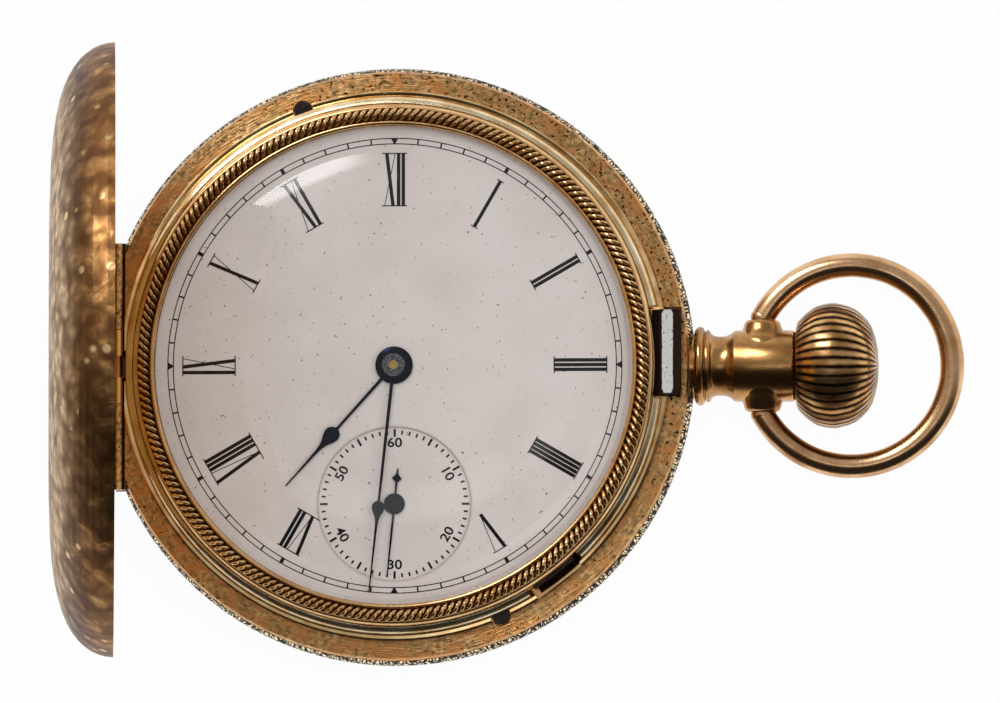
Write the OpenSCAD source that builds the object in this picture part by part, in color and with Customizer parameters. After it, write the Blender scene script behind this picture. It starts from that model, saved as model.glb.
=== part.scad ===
/* [Case] */
// Radius of the case at the widest line of its band
case_r = 26.2; // [25:0.1:28]
// Width of the case between its widest line and the movement
case_wall = 4.61; // [4.58:0.01:4.65]
// How far the band swells past the edge of its flat rim
band_swell = 0.6; // [0.2:0.1:0.9]
// Height of the band between the two covers
band_h = 4.4; // [4.2:0.1:5]
// Height of the raised ring inside the flat rim
ring_h = 0.6; // [0.4:0.05:0.7]
// Width of the raised ring with its polished slope
ring_w = 1.1; // [0.9:0.05:1.3]
// Depth of the bezel's seat under the flat rim
seat_drop = 0.3; // [0.2:0.05:0.35]
// Width of the ledge under the movement's flange
flange_w = 0.6; // [0.5:0.05:0.7]
// Distance of the flat hinge face outside the bezel's seat
hinge_face = 1.36; // [1.3:0.02:1.5]
// Angle of the nail notch, counted from 3 o'clock
notch_angle = 92; // [85:1:100]
// Radius of the nail notch
notch_r = 0.6; // [0.4:0.1:0.9]

/* [Covers] */
// Height of the front cover's dome
front_dome_h = 5.5; // [5:0.1:7]
// Radius of the flat that the watch lies on
back_flat_r = 12; // [8:0.5:13]
// Wall of the front and back covers
cover_wall = 0.5; // [0.35:0.05:0.55]
// Wall of the inner dust cover
dust_wall = 0.35; // [0.25:0.05:0.4]
// Gap between the back cover's floor and the dust cover's
dust_gap = 0.2; // [0.15:0.05:0.25]
// How far the front cover's rim lies inside the case radius
cover_inset = 0.2; // [0.1:0.05:0.3]
// How far the dust cover's rim lies inside the case radius
dust_inset = 2; // [1.9:0.05:2.1]
// Angle between the front cover as it stands open and as it is closed
front_open = 83; // [0:1:88]
// Gap between a closed cover and the band
cover_gap = 0.05; // [0.03:0.01:0.08]

/* [Hinges] */
// Distance of both hinge axes outside the hinge face
hinge_out = 0.65; // [0.65:0.05:0.75]
// Distance of each hinge axis inside the band from its cover's rim
hinge_drop = 0.45; // [0.4:0.05:0.5]
// Radius of the knuckles
knuckle_r = 0.6; // [0.5:0.05:0.62]
// Radius of the hinge pins
hinge_pin_r = 0.3; // [0.2:0.05:0.35]
// Half length of each hinge
hinge_half = 10.8; // [9:0.1:11]
// Half length of the cover's middle knuckles with their gap
knuckle_mid = 3.2; // [2.8:0.1:4]
// Half width of the gap for the lift spring
knuckle_gap = 0.95; // [0.8:0.05:1.1]

/* [Bezel and crystal] */
// How far the bezel laps over the dial's edge
bezel_lap = 0.65; // [0.6:0.05:1.1]
// Width of the bezel's smooth inner rim
bezel_rim_w = 0.55; // [0.4:0.05:0.6]
// Height of the bezel over its seat
bezel_h = 2.55; // [2.4:0.05:3]
// Thickness of the crystal
crystal_t = 0.8; // [0.5:0.05:0.9]
// Rise of the crystal's middle over its edge
crystal_rise = 1.7; // [1.5:0.1:2.2]
// Width of the crystal's bevelled edge
bevel_w = 2.65; // [1.8:0.05:3.7]

/* [Dial and hands] */
// How far the enamel dial's edge lies inside the plate's
dial_inset = 0.19; // [0.1:0.01:0.4]
// Thickness of the enamel dial
dial_t = 0.6; // [0.4:0.05:0.7]
// Radius of the sunk seconds dial
seconds_r = 6.75; // [6.5:0.05:7.2]
// Depth of the seconds dial under the dial's face
seconds_sink = 0.35; // [0.25:0.05:0.4]
// Gap between the minute hand's tip and the bezel
minute_gap = 0.75; // [0.5:0.05:2.5]
// How much shorter the hour hand is than the minute hand
hour_short = 5.8; // [5:0.1:8]
// Gap between the seconds hand's tip and the edge of its dial
seconds_gap = 0.45; // [0.3:0.05:1.5]
// Direction of the minute hand, clockwise from 12
minute_dir = 186.2; // [0:0.1:360]
// Direction of the hour hand, clockwise from 12
hour_dir = 222; // [0:0.1:360]
// Direction of the seconds hand, clockwise from 12
seconds_dir = 185.7; // [0:0.1:360]
// Thickness of a hand
hand_t = 0.14; // [0.1:0.01:0.18]
// Radius of the minute hand's hub
hub_r = 1.64; // [1.4:0.02:1.8]

/* [Pendant, crown and bow] */
// Height of the stem's axis over the back
stem_z = 5.4; // [5.35:0.05:5.5]
// Radius of the stem
stem_r = 0.7; // [0.6:0.02:0.75]
// Radius of the pendant's first ring
neck_ring_r = 3.45; // [3.2:0.05:3.6]
// Radius of the pendant's cylinder
pendant_r = 3.13; // [2.9:0.05:3.3]
// How far the pendant's end stands outside the case radius
pendant_out = 8.1; // [7.9:0.1:8.2]
// Radius of the pendant's ears
ear_r = 1.55; // [1.3:0.05:1.7]
// Distance between the faces of the ears
ear_span = 8.07; // [7.6:0.05:8.4]
// Distance of the bow's pivot from the pendant's end
pivot_in = 2.25; // [2:0.05:2.4]
// Length from the bow's pivot to its far side, outside
bow_reach = 17.65; // [16.8:0.1:20]
// Thickness of the bow's wire
bow_wire = 2.1; // [1.8:0.05:2.2]
// Gap between the pendant's end and the crown
crown_gap = 0.7; // [0.7:0.05:0.9]
// Length of the crown
crown_len = 7.2; // [6.5:0.1:7.6]
// Radius of the crown at its widest
crown_r = 5.47; // [5:0.05:5.8]
// Number of the crown's flutes
crown_flutes = 42; // [30:1:44]
// Depth of a flute
flute_depth = 0.3; // [0.2:0.02:0.36]
// Travel of the crown when it is pressed
press_travel = 0.6; // [0.4:0.05:0.6]

/* [Springs and catches] */
// Thickness of the lock and lift springs
spring_t = 0.3; // [0.25:0.01:0.34]
// Height of the lock and lift springs
spring_h = 0.7; // [0.5:0.05:0.7]
// Arc between each spring's tip and its screw, in degrees
spring_arc = 56; // [45:1:58]
// Length of the catch along the rim
catch_len = 7.5; // [6.5:0.1:8]
// Distance of the catch's middle above the crown's line
catch_off = 1.05; // [0.5:0.05:1.4]
// Direction of the setting lever, counted from 3 o'clock
lever_angle = -52.6; // [-56:0.2:-49]
// Width of the setting lever's slot
lever_slot_w = 4.8; // [4.2:0.1:5.2]
// Travel of the setting lever
lever_travel = 0.8; // [0.5:0.05:0.85]

/* [Movement] */
// Thickness of the main plate
plate_t = 1.6; // [1.5:0.05:1.7]
// Thickness of the bridges
bridge_t = 1.2; // [1.15:0.05:1.25]
// Clear height between the bridges and the main plate
train_gap = 2.05; // [2:0.05:2.2]
// Clear height between the main plate and the dial
motion_gap = 0.9; // [0.85:0.05:1]
// Thickness of a wheel
wheel_t = 0.3; // [0.22:0.02:0.3]
// Radius of a bridge pillar
pillar_r = 1.2; // [1:0.05:1.3]
// Radius of a screw's head
screw_head_r = 0.8; // [0.6:0.05:0.9]
// Radius of a jewel
jewel_r = 0.75; // [0.6:0.05:0.8]
// Radius of a pivot
pivot_r = 0.16; // [0.12:0.01:0.18]

/* [Wheels] */
// Teeth of the barrel
barrel_teeth = 80; // [80:1:80]
// Teeth of the centre wheel
centre_teeth = 80; // [80:1:80]
// Teeth of the third wheel
third_teeth = 75; // [75:1:75]
// Teeth of the fourth wheel
fourth_teeth = 80; // [80:1:80]
// Teeth of the escape wheel
escape_teeth = 15; // [15:1:15]
// Module of the barrel's teeth
barrel_m = 0.2156; // [0.215:0.0001:0.2159]
// Height of the barrel
barrel_h = 2.25; // [2.1:0.05:2.3]
// Tip radius of the escape wheel
escape_r = 2.9; // [2.7:0.05:2.95]
// Radius of the balance
balance_r = 8.2; // [7.8:0.05:8.25]
// Height of the balance's rim
balance_h = 0.8; // [0.6:0.05:0.85]
// Turns of the hairspring
hair_turns = 5; // [4:1:5]
// Thickness of the hairspring's strip
hair_t = 0.1; // [0.08:0.01:0.12]
// Turns of the mainspring
main_turns = 6; // [4:1:7]

/* [Fits] */
// Radial clearance of a running fit
run_fit = 0.04; // [0.02:0.005:0.06]
// Clearance of the movement in the case
case_fit = 0.06; // [0.03:0.01:0.08]
// Clearance at the sides of sliding pieces
side_fit = 0.1; // [0.05:0.01:0.14]

/* [Hidden] */
$fn = 64;

// Radii of the case, outwards from the movement
plate_r = case_r - case_wall;
bore_r = plate_r + case_fit;
flange_r = plate_r + flange_w;
seat_r = flange_r + side_fit;
foot_r = seat_r + 0.55;
ring_in = foot_r + case_fit;
ring_out = ring_in + ring_w;
edge_r = case_r - band_swell;
chord_x = seat_r + hinge_face;
hinge_x = chord_x + hinge_out;
front_r = case_r - cover_inset;
back_r = front_r - 0.1;
dust_r = case_r - dust_inset;

// Radii over the movement, and the lengths of the hands
dial_r = plate_r - dial_inset;
sight_r = dial_r - bezel_lap;
crystal_bevel_r = sight_r - bevel_w;
minute_len = sight_r - minute_gap;
hour_len = minute_len - hour_short;
seconds_len = seconds_r - seconds_gap;

// Places of the pendant, the bow and the crown along the stem's line
neck_x = edge_r + 0.4;
pendant_end = case_r + pendant_out;
bow_pivot_x = pendant_end - pivot_in;
crown_x = pendant_end + crown_gap;

// Levels of the back and the movement, upwards from the back's flat
z_dust0 = cover_wall + dust_gap;
z_dust1 = z_dust0 + dust_wall;
regulator_t = 0.18;
z_reg0 = z_dust1 + 0.15;
z_cock0 = z_reg0 + regulator_t + 0.04;
cock_t = 0.48;
z_cock1 = z_cock0 + cock_t;
z_hair0 = z_cock1 + 0.15;
hair_h = 0.2;
z_hair1 = z_hair0 + hair_h;
z_bal0 = z_hair1 + 0.15;
z_bal1 = z_bal0 + balance_h;
z_bridge0 = z_hair1;
z_bridge1 = z_bridge0 + bridge_t;
wind_t = 0.45;
z_wind1 = z_bridge0 - 0.05;
z_wind0 = z_wind1 - wind_t;
z_centre0 = z_bridge1 + 0.05;
z_centre1 = z_centre0 + wheel_t;
z_third0 = z_bridge1 + 0.65;
z_third1 = z_third0 + wheel_t;
z_escape0 = z_bridge1 + 0.75;
z_escape1 = z_escape0 + 0.25;
z_fourth0 = z_bridge1 + 1.45;
z_fourth1 = z_fourth0 + 0.25;
z_barrel0 = z_centre1 + 0.15;
z_barrel1 = z_barrel0 + barrel_h;
z_plate0 = z_bridge1 + train_gap;
z_plate1 = z_plate0 + plate_t;
z_ledge = z_plate1 - 0.5;
z_dial0 = z_plate1 + motion_gap;
z_dial1 = z_dial0 + dial_t;
z_rim = z_dial1;
z_seat = z_rim - seat_drop;
z_ring = z_rim + ring_h;
z_band0 = z_rim - band_h;
z_under = z_band0 - 0.25;
z_spring0 = z_plate1 + 0.05;
z_spring1 = z_spring0 + spring_h;
z_bezel1 = z_seat + bezel_h;
z_hour = z_dial1 + 0.35;
z_minute = z_hour + hand_t + 0.21;
z_sub = z_dial1 - seconds_sink;
z_second = z_sub + 0.2;
z_over = z_bezel1 + 5;
z_front = z_rim + cover_gap;
z_back = z_band0 - cover_gap;
front_axis_z = z_rim - hinge_drop;
back_axis_z = z_band0 + hinge_drop;

// The movement is drawn for a plate of 21.59 mm, and its layout follows the plate
train_k = plate_r / 21.59;

// Modules of the wheels, and radii that follow the layout
drum_m = barrel_m * train_k;
centre_m = 0.17 * train_k;
fourth_m = 0.13 * train_k;
escape_tip_r = escape_r * train_k;
balance_rim_r = balance_r * train_k;

// Places of the arbors, seen from the dial side
pinion_leaves = 10;
escape_leaves = 8;
function polar(r, a) = [r * cos(a), r * sin(a)];
function dist(p, q) = norm(q - p);
function bearing(p, q) = atan2(q[1] - p[1], q[0] - p[0]);
centre_at = [0, 0];
barrel_at = polar(drum_m * (barrel_teeth + pinion_leaves) / 2, 47.9);
third_at = polar(centre_m * (centre_teeth + pinion_leaves) / 2, -62.6);
fourth_at = [0, -12.1] * train_k;
escape_at = fourth_at + polar(fourth_m * (fourth_teeth + escape_leaves) / 2, -164.8);
balance_at = [-11.5, -5.5] * train_k;
pallet_at = escape_at + polar(3.35 * train_k, bearing(escape_at, balance_at));
cock_foot = [-12.7, -15.7] * train_k;
crown_wheel_at = [13.2, 0] * train_k;
third_scale = 2 * dist(third_at, fourth_at) / (third_teeth + pinion_leaves);

// Motion work between the plate and the dial
cannon_teeth = 12;
minute_teeth = 36;
hour_teeth = 48;
motion_dist = 3;
minute_at = polar(motion_dist, 45);
cannon_m = 2 * motion_dist / (cannon_teeth + minute_teeth);
hour_m = 2 * motion_dist / (hour_teeth + cannon_teeth);

// Winding work
wind_leaves = 16;
crown_wheel_teeth = 34;
ratchet_teeth = 54;
wind_m = 2 * dist(crown_wheel_at, barrel_at) / (crown_wheel_teeth + ratchet_teeth);
wind_pitch_r = wind_m * wind_leaves / 2;
crown_pitch_r = wind_m * crown_wheel_teeth / 2;
ratchet_pitch_r = wind_m * ratchet_teeth / 2;
wind_pinion_x = crown_wheel_at[0] + crown_pitch_r;
wind_pinion_half = 0.65;
collar_r = 1.2;
collar_x = seat_r + 0.86;
z_contrate = stem_z - wind_pitch_r + 0.15;

// Pillars between the plate and the bridges, and the feet that hold them
barrel_pillars = [[-9, 15.5], [16.8, 11], [18.6, -3.2]] * train_k;
train_pillars = [[8.5, -16.5], [13.5, -9], [-3.5, -19.4]] * train_k;
pallet_dir = bearing(pallet_at, balance_at) - 90;
pallet_pillars = [pallet_at + polar(3, pallet_dir), pallet_at - polar(3.6, pallet_dir)];
pallet_pillar_r = 0.5;
foot_pillar_r = 1.1;
pallet_bridge_t = 0.45;
z_pallet0 = z_bal1 + 0.15;
z_pallet1 = z_pallet0 + pallet_bridge_t;
dial_foot_r = 0.4;
dial_feet_at = [polar(18.8, 30), polar(18.8, 150), polar(18.6, -100)] * train_k;
case_screws_at = [polar(ring_out - 0.25, 109.7), polar(ring_out - 0.25, -66.9)];
staff_r = 0.3;
arbor_r = 0.4;

// Discs, tubes and gears
module at(p) {
  translate([p[0], p[1], 0]) children();
}
module disc(r, z0, z1) {
  translate([0, 0, z0]) cylinder(r=r, h=z1 - z0);
}
module tube(ro, ri, z0, z1) {
  difference() {
    disc(ro, z0, z1);
    disc(ri, z0 - 1, z1 + 1);
  }
}
module along_y(x, z, y0, y1, r) {
  translate([x, y0, z]) rotate([-90, 0, 0]) cylinder(r=r, h=y1 - y0);
}
module along_x(x0, x1, z, r) {
  translate([x0, 0, z]) rotate([0, 90, 0]) cylinder(r=r, h=x1 - x0);
}
module block(x0, x1, y0, y1, z0, z1) {
  translate([x0, y0, z0]) cube([x1 - x0, y1 - y0, z1 - z0]);
}

// A tooth's share of the pitch at its root, pitch line and tip
wheel_share = [0.5, 0.36, 0.12];
leaf_share = [0.3, 0.32, 0.16];
function tooth(n, m, phase, i, share, add, ded) = let(
    a = phase + 360 * i / n,
    pr = m * n / 2,
    pitch = 360 / n,
    r = [pr - ded * m, pr, pr + add * m]
  ) [for (k = [0, 1, 2]) polar(r[k], a - share[k] * pitch / 2),
     for (k = [2, 1, 0]) polar(r[k], a + share[k] * pitch / 2)];
function gear_points(n, m, phase, share, add, ded) =
  [for (i = [0:n - 1]) for (p = tooth(n, m, phase, i, share, add, ded)) p];
function mesh_phase(p, q, na, nb, phase) =
  let(b = bearing(p, q)) b + 180 + 180 / nb + (b - phase) * na / nb;

module gear(n, m, phase, z0, z1, share = wheel_share, add = 0.9, ded = 1.3) {
  translate([0, 0, z0]) linear_extrude(height=z1 - z0)
    polygon(gear_points(n, m, phase, share, add, ded));
}
module leaves(n, m, phase, z0, z1) {
  gear(n, m, phase, z0, z1, leaf_share, 0.6, 1.25);
}
module wheel(n, m, phase, z0, z1, holes) {
  rim = m * n / 2;
  difference() {
    gear(n, m, phase, z0, z1);
    for (i = [0:holes - 1]) {
      at(polar(rim * 0.56, 360 * i / holes)) disc(rim * 0.27, z0 - 1, z1 + 1);
    }
  }
}

// A flat spiral strip, outwards by a steady step a turn
function spiral_line(r0, r1, turns, a0, side, steps) =
  [for (i = [0:steps * turns]) let(f = i / (steps * turns))
    polar(r0 + (r1 - r0) * f + side, a0 + 360 * turns * f)];
function reversed(list) = [for (i = [len(list) - 1:-1:0]) list[i]];
module spiral(r0, r1, turns, a0, t, z0, z1) {
  steps = 24;
  translate([0, 0, z0]) linear_extrude(height=z1 - z0)
    polygon(concat(
      spiral_line(r0, r1, turns, a0, t / 2, steps),
      reversed(spiral_line(r0, r1, turns, a0, -t / 2, steps))
    ));
}

// A turned dome: full height in the middle, falling to 0 at the rim
dome_steps = 14;
function dome_curve(r, h, flat, power) = [for (i = [0:dome_steps]) let(t = 90 * i / dome_steps)
  [flat + (r - flat) * pow(sin(t), 2 / power), i == dome_steps ? 0 : h * cos(t)]];
module dome(r, h, flat, power) {
  rotate_extrude($fn=96) polygon(concat([[0, 0]], flat > 0 ? [[0, h]] : [], dome_curve(r, h, flat, power)));
}
module dome_shell(r, h, wall, flat, power) {
  difference() {
    dome(r, h, flat, power);
    translate([0, 0, -0.01]) dome(r - wall, h - wall + 0.01, flat, power);
  }
}

// Case centre with its flat hinge face, seats and pockets
function band_curve(n) = [for (i = [0:n]) let(t = 2 * i / n - 1)
  [edge_r + band_swell * (1 - t * t), z_band0 + (z_rim - z_band0) * i / n]];
dust_seat_r = dust_r + 0.3;
pocket_r = seat_r + 0.9;
pocket_top = z_spring1 + 0.1;
spring_in = seat_r + 0.15;
spring_mid = spring_in + spring_t / 2;
eye_r = 0.52;
eye_at = spring_mid + 0.15;
module case_blank() {
  rotate_extrude($fn=96) polygon(concat(
    [[bore_r, z_under], [dust_seat_r, z_under], [dust_seat_r, z_band0]],
    band_curve(8),
    [[ring_out + 0.1, z_rim], [ring_out + 0.05, z_ring - 0.1], [ring_out - 0.1, z_ring],
     [ring_out - 0.35, z_ring - 0.05], [ring_in, z_rim + 0.1], [ring_in, z_seat],
     [seat_r, z_seat], [seat_r, z_ledge], [bore_r, z_ledge]]
  ));
}
module pocket(a0, span) {
  rotate([0, 0, a0]) translate([0, 0, z_spring0 - 0.05])
    rotate_extrude(angle=span, $fn=96)
      translate([seat_r - 0.2, 0]) square([pocket_r - seat_r + 0.2, pocket_top - z_spring0 + 0.05]);
}
module eye_pocket(a) {
  at(polar(eye_at, a)) disc(eye_r + 0.12, z_spring0 - 0.05, pocket_top);
  at(polar(eye_at, a)) disc(0.25, z_ledge, z_spring0);
}
catch_in = foot_r + 0.36;
catch_out = catch_in + 1.65;
neck_in = catch_out + 0.3;
module case_centre() {
  color("goldenrod") {
    difference() {
      case_blank();
      block(-case_r - 1, -chord_x, -hinge_half - 3, hinge_half + 3, z_under - 1, z_ring + 1);
      pocket(-4, spring_arc + 8);
      pocket(180 - spring_arc - 4, spring_arc + 8);
      eye_pocket(spring_arc);
      eye_pocket(180 - spring_arc);
      block(seat_r - 0.2, catch_out + 0.25, catch_off - catch_len / 2 - 0.2,
        catch_off + catch_len / 2 + 0.2, z_spring0 - 0.05, z_ring + 1);
      block(-chord_x - 1, -seat_r + 0.2, -knuckle_gap - 0.4, knuckle_gap + 0.4,
        z_spring0 - 0.15, z_ring + 1);
      rotate([0, 0, lever_angle])
        block(seat_r - 0.2, ring_out - 0.05, -lever_slot_w / 2, lever_slot_w / 2,
          z_plate1 + 0.03, z_ring + 1);
      block(seat_r - 0.35, pocket_r, -1.7, 1.7, stem_z + 0.7, z_spring1);
      along_x(bore_r - 1, case_r + 1, stem_z, stem_r + 0.1);
      along_x(bore_r - 1, collar_x + 0.5, stem_z, collar_r + 0.1);
      along_x(neck_in - 0.03, case_r + 1, stem_z, 2.9);
      for (p = case_screws_at) {
        at(p) disc(screw_head_r + 0.12, z_rim - 0.5, z_ring + 1);
        at(p) disc(0.35, z_rim - 2.5, z_rim);
      }
      at(polar(ring_out + notch_r * 0.7, notch_angle)) disc(notch_r, z_rim - 0.3, z_ring + 1);
    }
    for (s = [-1, 1]) {
      knuckle_between(front_axis_z, s, knuckle_mid + 0.08, hinge_half);
      knuckle_between(back_axis_z, s, knuckle_mid + 0.08, hinge_half);
    }
  }
}
// One of the case's knuckles, with the web that joins it to the hinge face
module knuckle_between(z, side, y0, y1) {
  lo = side > 0 ? y0 : -y1;
  hi = side > 0 ? y1 : -y0;
  difference() {
    union() {
      along_y(-hinge_x, z, lo, hi, knuckle_r);
      block(-hinge_x, -chord_x + 0.02, lo, hi, z - 0.35, z + 0.35);
    }
    along_y(-hinge_x, z, lo - 1, hi + 1, hinge_pin_r);
  }
}
module front_hinge_pin() {
  color("darkgoldenrod") along_y(-hinge_x, front_axis_z, -hinge_half, hinge_half, hinge_pin_r);
}
module back_hinge_pin() {
  color("darkgoldenrod") along_y(-hinge_x, back_axis_z, -hinge_half, hinge_half, hinge_pin_r);
}
module screw(head_r, shaft_r, z_head0, z_head1, z_end) {
  difference() {
    disc(head_r, z_head0, z_head1);
    block(-head_r, head_r, -0.1, 0.1, z_head1 > z_end ? z_head1 - 0.12 : z_head0 - 1, z_head1 + 1);
  }
  disc(shaft_r, min(z_end, z_head0), max(z_end, z_head0));
}
module case_screws() {
  color("midnightblue") for (p = case_screws_at) {
    at(p) rotate([0, 0, 30]) screw(screw_head_r, 0.35, z_rim - 0.5, z_rim + 0.2, z_rim - 2.5);
  }
}
module spring_screws() {
  color("slategray") for (a = [spring_arc, 180 - spring_arc]) {
    at(polar(eye_at, a)) disc(0.25, z_ledge, z_spring1 + 0.08);
  }
}

// Covers
module hinge_notch(z) {
  along_y(-hinge_x, z, -hinge_half - 0.15, hinge_half + 0.15, knuckle_r + side_fit);
}
// A cover's knuckle on its own side of the gap, and the web that joins it to the shell
module cover_knuckle(z, lo, hi, web_z0, web_z1, web_x) {
  difference() {
    union() {
      along_y(-hinge_x, z, lo, hi, knuckle_r);
      block(-web_x, -hinge_x, lo, hi, web_z0, web_z1);
    }
    along_y(-hinge_x, z, lo - 1, hi + 1, hinge_pin_r + run_fit);
  }
}
front_power = 6;
front_lip_r = front_r - cover_wall + 0.02;
module front_cover_closed() {
  difference() {
    translate([0, 0, z_front]) dome_shell(front_r, front_dome_h, cover_wall, 0, front_power);
    hinge_notch(front_axis_z);
  }
  for (s = [-1, 1]) {
    cover_knuckle(front_axis_z, s > 0 ? knuckle_gap : -knuckle_mid, s > 0 ? knuckle_mid : -knuckle_gap,
      z_front, z_front + 0.45, front_r - cover_wall + 0.1);
  }
  intersection() {
    disc(front_lip_r, z_front + 0.02, z_front + 0.22);
    block(catch_out + 0.08, front_r, catch_off - catch_len / 2 + 0.6, catch_off + catch_len / 2 - 0.6,
      z_front, z_front + 1);
  }
}
module front_cover() {
  color("darkgoldenrod") translate([-hinge_x, 0, front_axis_z]) rotate([0, -front_open, 0])
    translate([hinge_x, 0, -front_axis_z]) front_cover_closed();
}
back_power = 3;
module back_cover() {
  color("goldenrod") {
    difference() {
      translate([0, 0, z_back]) mirror([0, 0, 1])
        dome_shell(back_r, z_back, cover_wall, back_flat_r, back_power);
      hinge_notch(back_axis_z);
      along_x(edge_r - 1.5, case_r + 1, stem_z, neck_ring_r + side_fit);
    }
    cover_knuckle(back_axis_z, 0.05, knuckle_mid, z_back - 0.45, z_back, front_r - cover_wall);
  }
}
z_dust_rim = z_under - cover_gap;
module dust_cover() {
  top = z_dust_rim;
  chord = -chord_x + 0.35;
  color("gold") {
    difference() {
      translate([0, 0, top]) mirror([0, 0, 1])
        dome_shell(dust_r, top - z_dust0, dust_wall, back_flat_r, back_power);
      block(-dust_r - 1, chord, -dust_r, dust_r, -1, top + 1);
      along_x(dust_r - 2, case_r, stem_z, stem_r + side_fit);
    }
    difference() {
      union() {
        along_y(-hinge_x, back_axis_z, -knuckle_mid, -0.05, knuckle_r);
        block(-hinge_x, chord + 0.3, -knuckle_mid, -0.05, top - 0.3, top);
        block(chord, chord + 0.35, -knuckle_mid, -0.05, top - 1.8, top);
        block(-hinge_x - 0.3, -hinge_x + 0.3, -knuckle_mid, -0.05, top - 0.3, back_axis_z);
      }
      along_y(-hinge_x, back_axis_z, -knuckle_mid - 1, 1, hinge_pin_r + run_fit);
    }
  }
}

// Lock and lift springs: an eye on a screw, a curved strip and a working tip
module edge_strip(a0, a1) {
  rotate([0, 0, a0]) translate([0, 0, z_spring0]) rotate_extrude(angle=a1 - a0, $fn=96)
    translate([spring_in, 0]) square([spring_t, spring_h]);
}
module spring_eye(a) {
  difference() {
    at(polar(eye_at, a)) disc(eye_r, z_spring0, z_spring1);
    at(polar(eye_at, a)) disc(0.25 + run_fit, z_spring0 - 1, z_spring1 + 1);
  }
}
module lock_spring() {
  y0 = catch_off - catch_len / 2;
  color("lightsteelblue") {
    difference() {
      edge_strip(0, spring_arc);
      at(polar(eye_at, spring_arc)) disc(0.25 + run_fit, z_spring0 - 1, z_spring1 + 1);
    }
    spring_eye(spring_arc);
    block(spring_in + 0.05, catch_out, y0, y0 + catch_len, z_spring0, z_spring1);
    block(seat_r + 0.38, catch_out, y0, y0 + catch_len, z_spring1 - 0.05, z_seat - 0.08);
    block(catch_in, catch_out, y0, y0 + catch_len, z_seat - 0.1, z_ring + 0.1);
    block(catch_out - 0.02, catch_out + 0.2, y0 + 0.5, y0 + catch_len - 0.5, z_front + 0.28, z_ring + 0.1);
    block(spring_in, spring_in + spring_t, -1.3, 1.3, stem_z + 0.8, z_spring0 + 0.1);
  }
}
module lift_spring() {
  color("slategray") {
    difference() {
      edge_strip(180 - spring_arc, 180);
      at(polar(eye_at, 180 - spring_arc)) disc(0.25 + run_fit, z_spring0 - 1, z_spring1 + 1);
    }
    spring_eye(180 - spring_arc);
    block(-hinge_x - 0.05, -spring_in, -knuckle_gap + 0.15, knuckle_gap - 0.15,
      z_spring0, front_axis_z - hinge_pin_r - 0.12);
  }
}

// Pendant, sleeve, stem, crown and bow
module pendant() {
  neck = [[2.88, neck_in], [2.88, neck_x + 0.12], [neck_ring_r - 0.25, neck_x + 0.15],
    [neck_ring_r, neck_x + 0.5], [neck_ring_r, neck_x + 0.75], [neck_ring_r - 0.45, neck_x + 1],
    [neck_ring_r - 0.3, neck_x + 1.2], [neck_ring_r - 0.3, neck_x + 1.45], [2.75, neck_x + 1.7],
    [2.6, neck_x + 2.2], [2.6, neck_x + 2.7], [2.85, neck_x + 3.2], [pendant_r, neck_x + 3.6],
    [pendant_r, pendant_end - 0.2], [pendant_r - 0.25, pendant_end], [0, pendant_end], [0, neck_in]];
  color("goldenrod") difference() {
    union() {
      translate([0, 0, stem_z]) rotate([0, 90, 0]) rotate_extrude() polygon(neck);
      along_y(bow_pivot_x, stem_z, -ear_span / 2, ear_span / 2, ear_r);
    }
    along_x(0, crown_x, stem_z, sleeve_r);
    for (s = [-1, 1]) {
      along_y(bow_pivot_x, stem_z, s > 0 ? ear_span / 2 - ear_depth : -ear_span / 2 - 1,
        s > 0 ? ear_span / 2 + 1 : -ear_span / 2 + ear_depth, bow_pin_r + run_fit);
    }
  }
}
sleeve_r = 1.9;
ear_depth = 0.95;
bow_pin_r = 0.65;
module pendant_sleeve() {
  color("steelblue") difference() {
    along_x(neck_in, pendant_end - 0.3, stem_z, sleeve_r);
    along_x(edge_r - 2, pendant_end + 1, stem_z, stem_r + run_fit);
  }
}
stem_in_x = wind_pinion_x - wind_pinion_half - 1.2;
crown_bore_x = crown_x + crown_len - 1.3;
module stem() {
  color("silver") {
    along_x(stem_in_x, crown_bore_x, stem_z, stem_r);
    along_x(collar_x, collar_x + 0.45, stem_z, collar_r);
  }
}
module crown() {
  profile = [[0.5, 0.0], [0.595, 0.02], [0.66, 0.07], [0.85, 0.16], [0.96, 0.28], [1, 0.42], [1, 0.6],
    [0.955, 0.76], [0.86, 0.88], [0.74, 0.96], [0.6, 1]];
  outline = [for (p = profile) [p[0] * crown_r, p[1] * crown_len]];
  groove = concat([for (i = [3:8]) [outline[i][0] - flute_depth, outline[i][1] + 0.02]],
    [[crown_r + 1, crown_len * 0.97], [crown_r + 1, crown_len * 0.05]]);
  groove_w = 2 * PI * crown_r / crown_flutes * 0.36;
  color("goldenrod") translate([crown_x, 0, stem_z]) rotate([0, 90, 0]) difference() {
    rotate_extrude($fn=96) polygon(concat([[0, 0]], outline, [[0, crown_len]]));
    for (i = [0:crown_flutes - 1]) {
      rotate([0, 0, 360 * i / crown_flutes]) rotate([90, 0, 0])
        linear_extrude(height=groove_w, center=true) polygon(groove);
    }
    translate([0, 0, -1]) cylinder(r=stem_r, h=crown_bore_x - crown_x + 1);
  }
}
bow_end_y = ear_span / 2 + bow_wire / 2 + 0.06;
bow_far = bow_reach - bow_wire / 2;
bow_mid = (bow_far * bow_far - bow_end_y * bow_end_y) / (2 * bow_far);
bow_ring_r = bow_far - bow_mid;
bow_end_angle = atan2(bow_end_y, -bow_mid);
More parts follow.
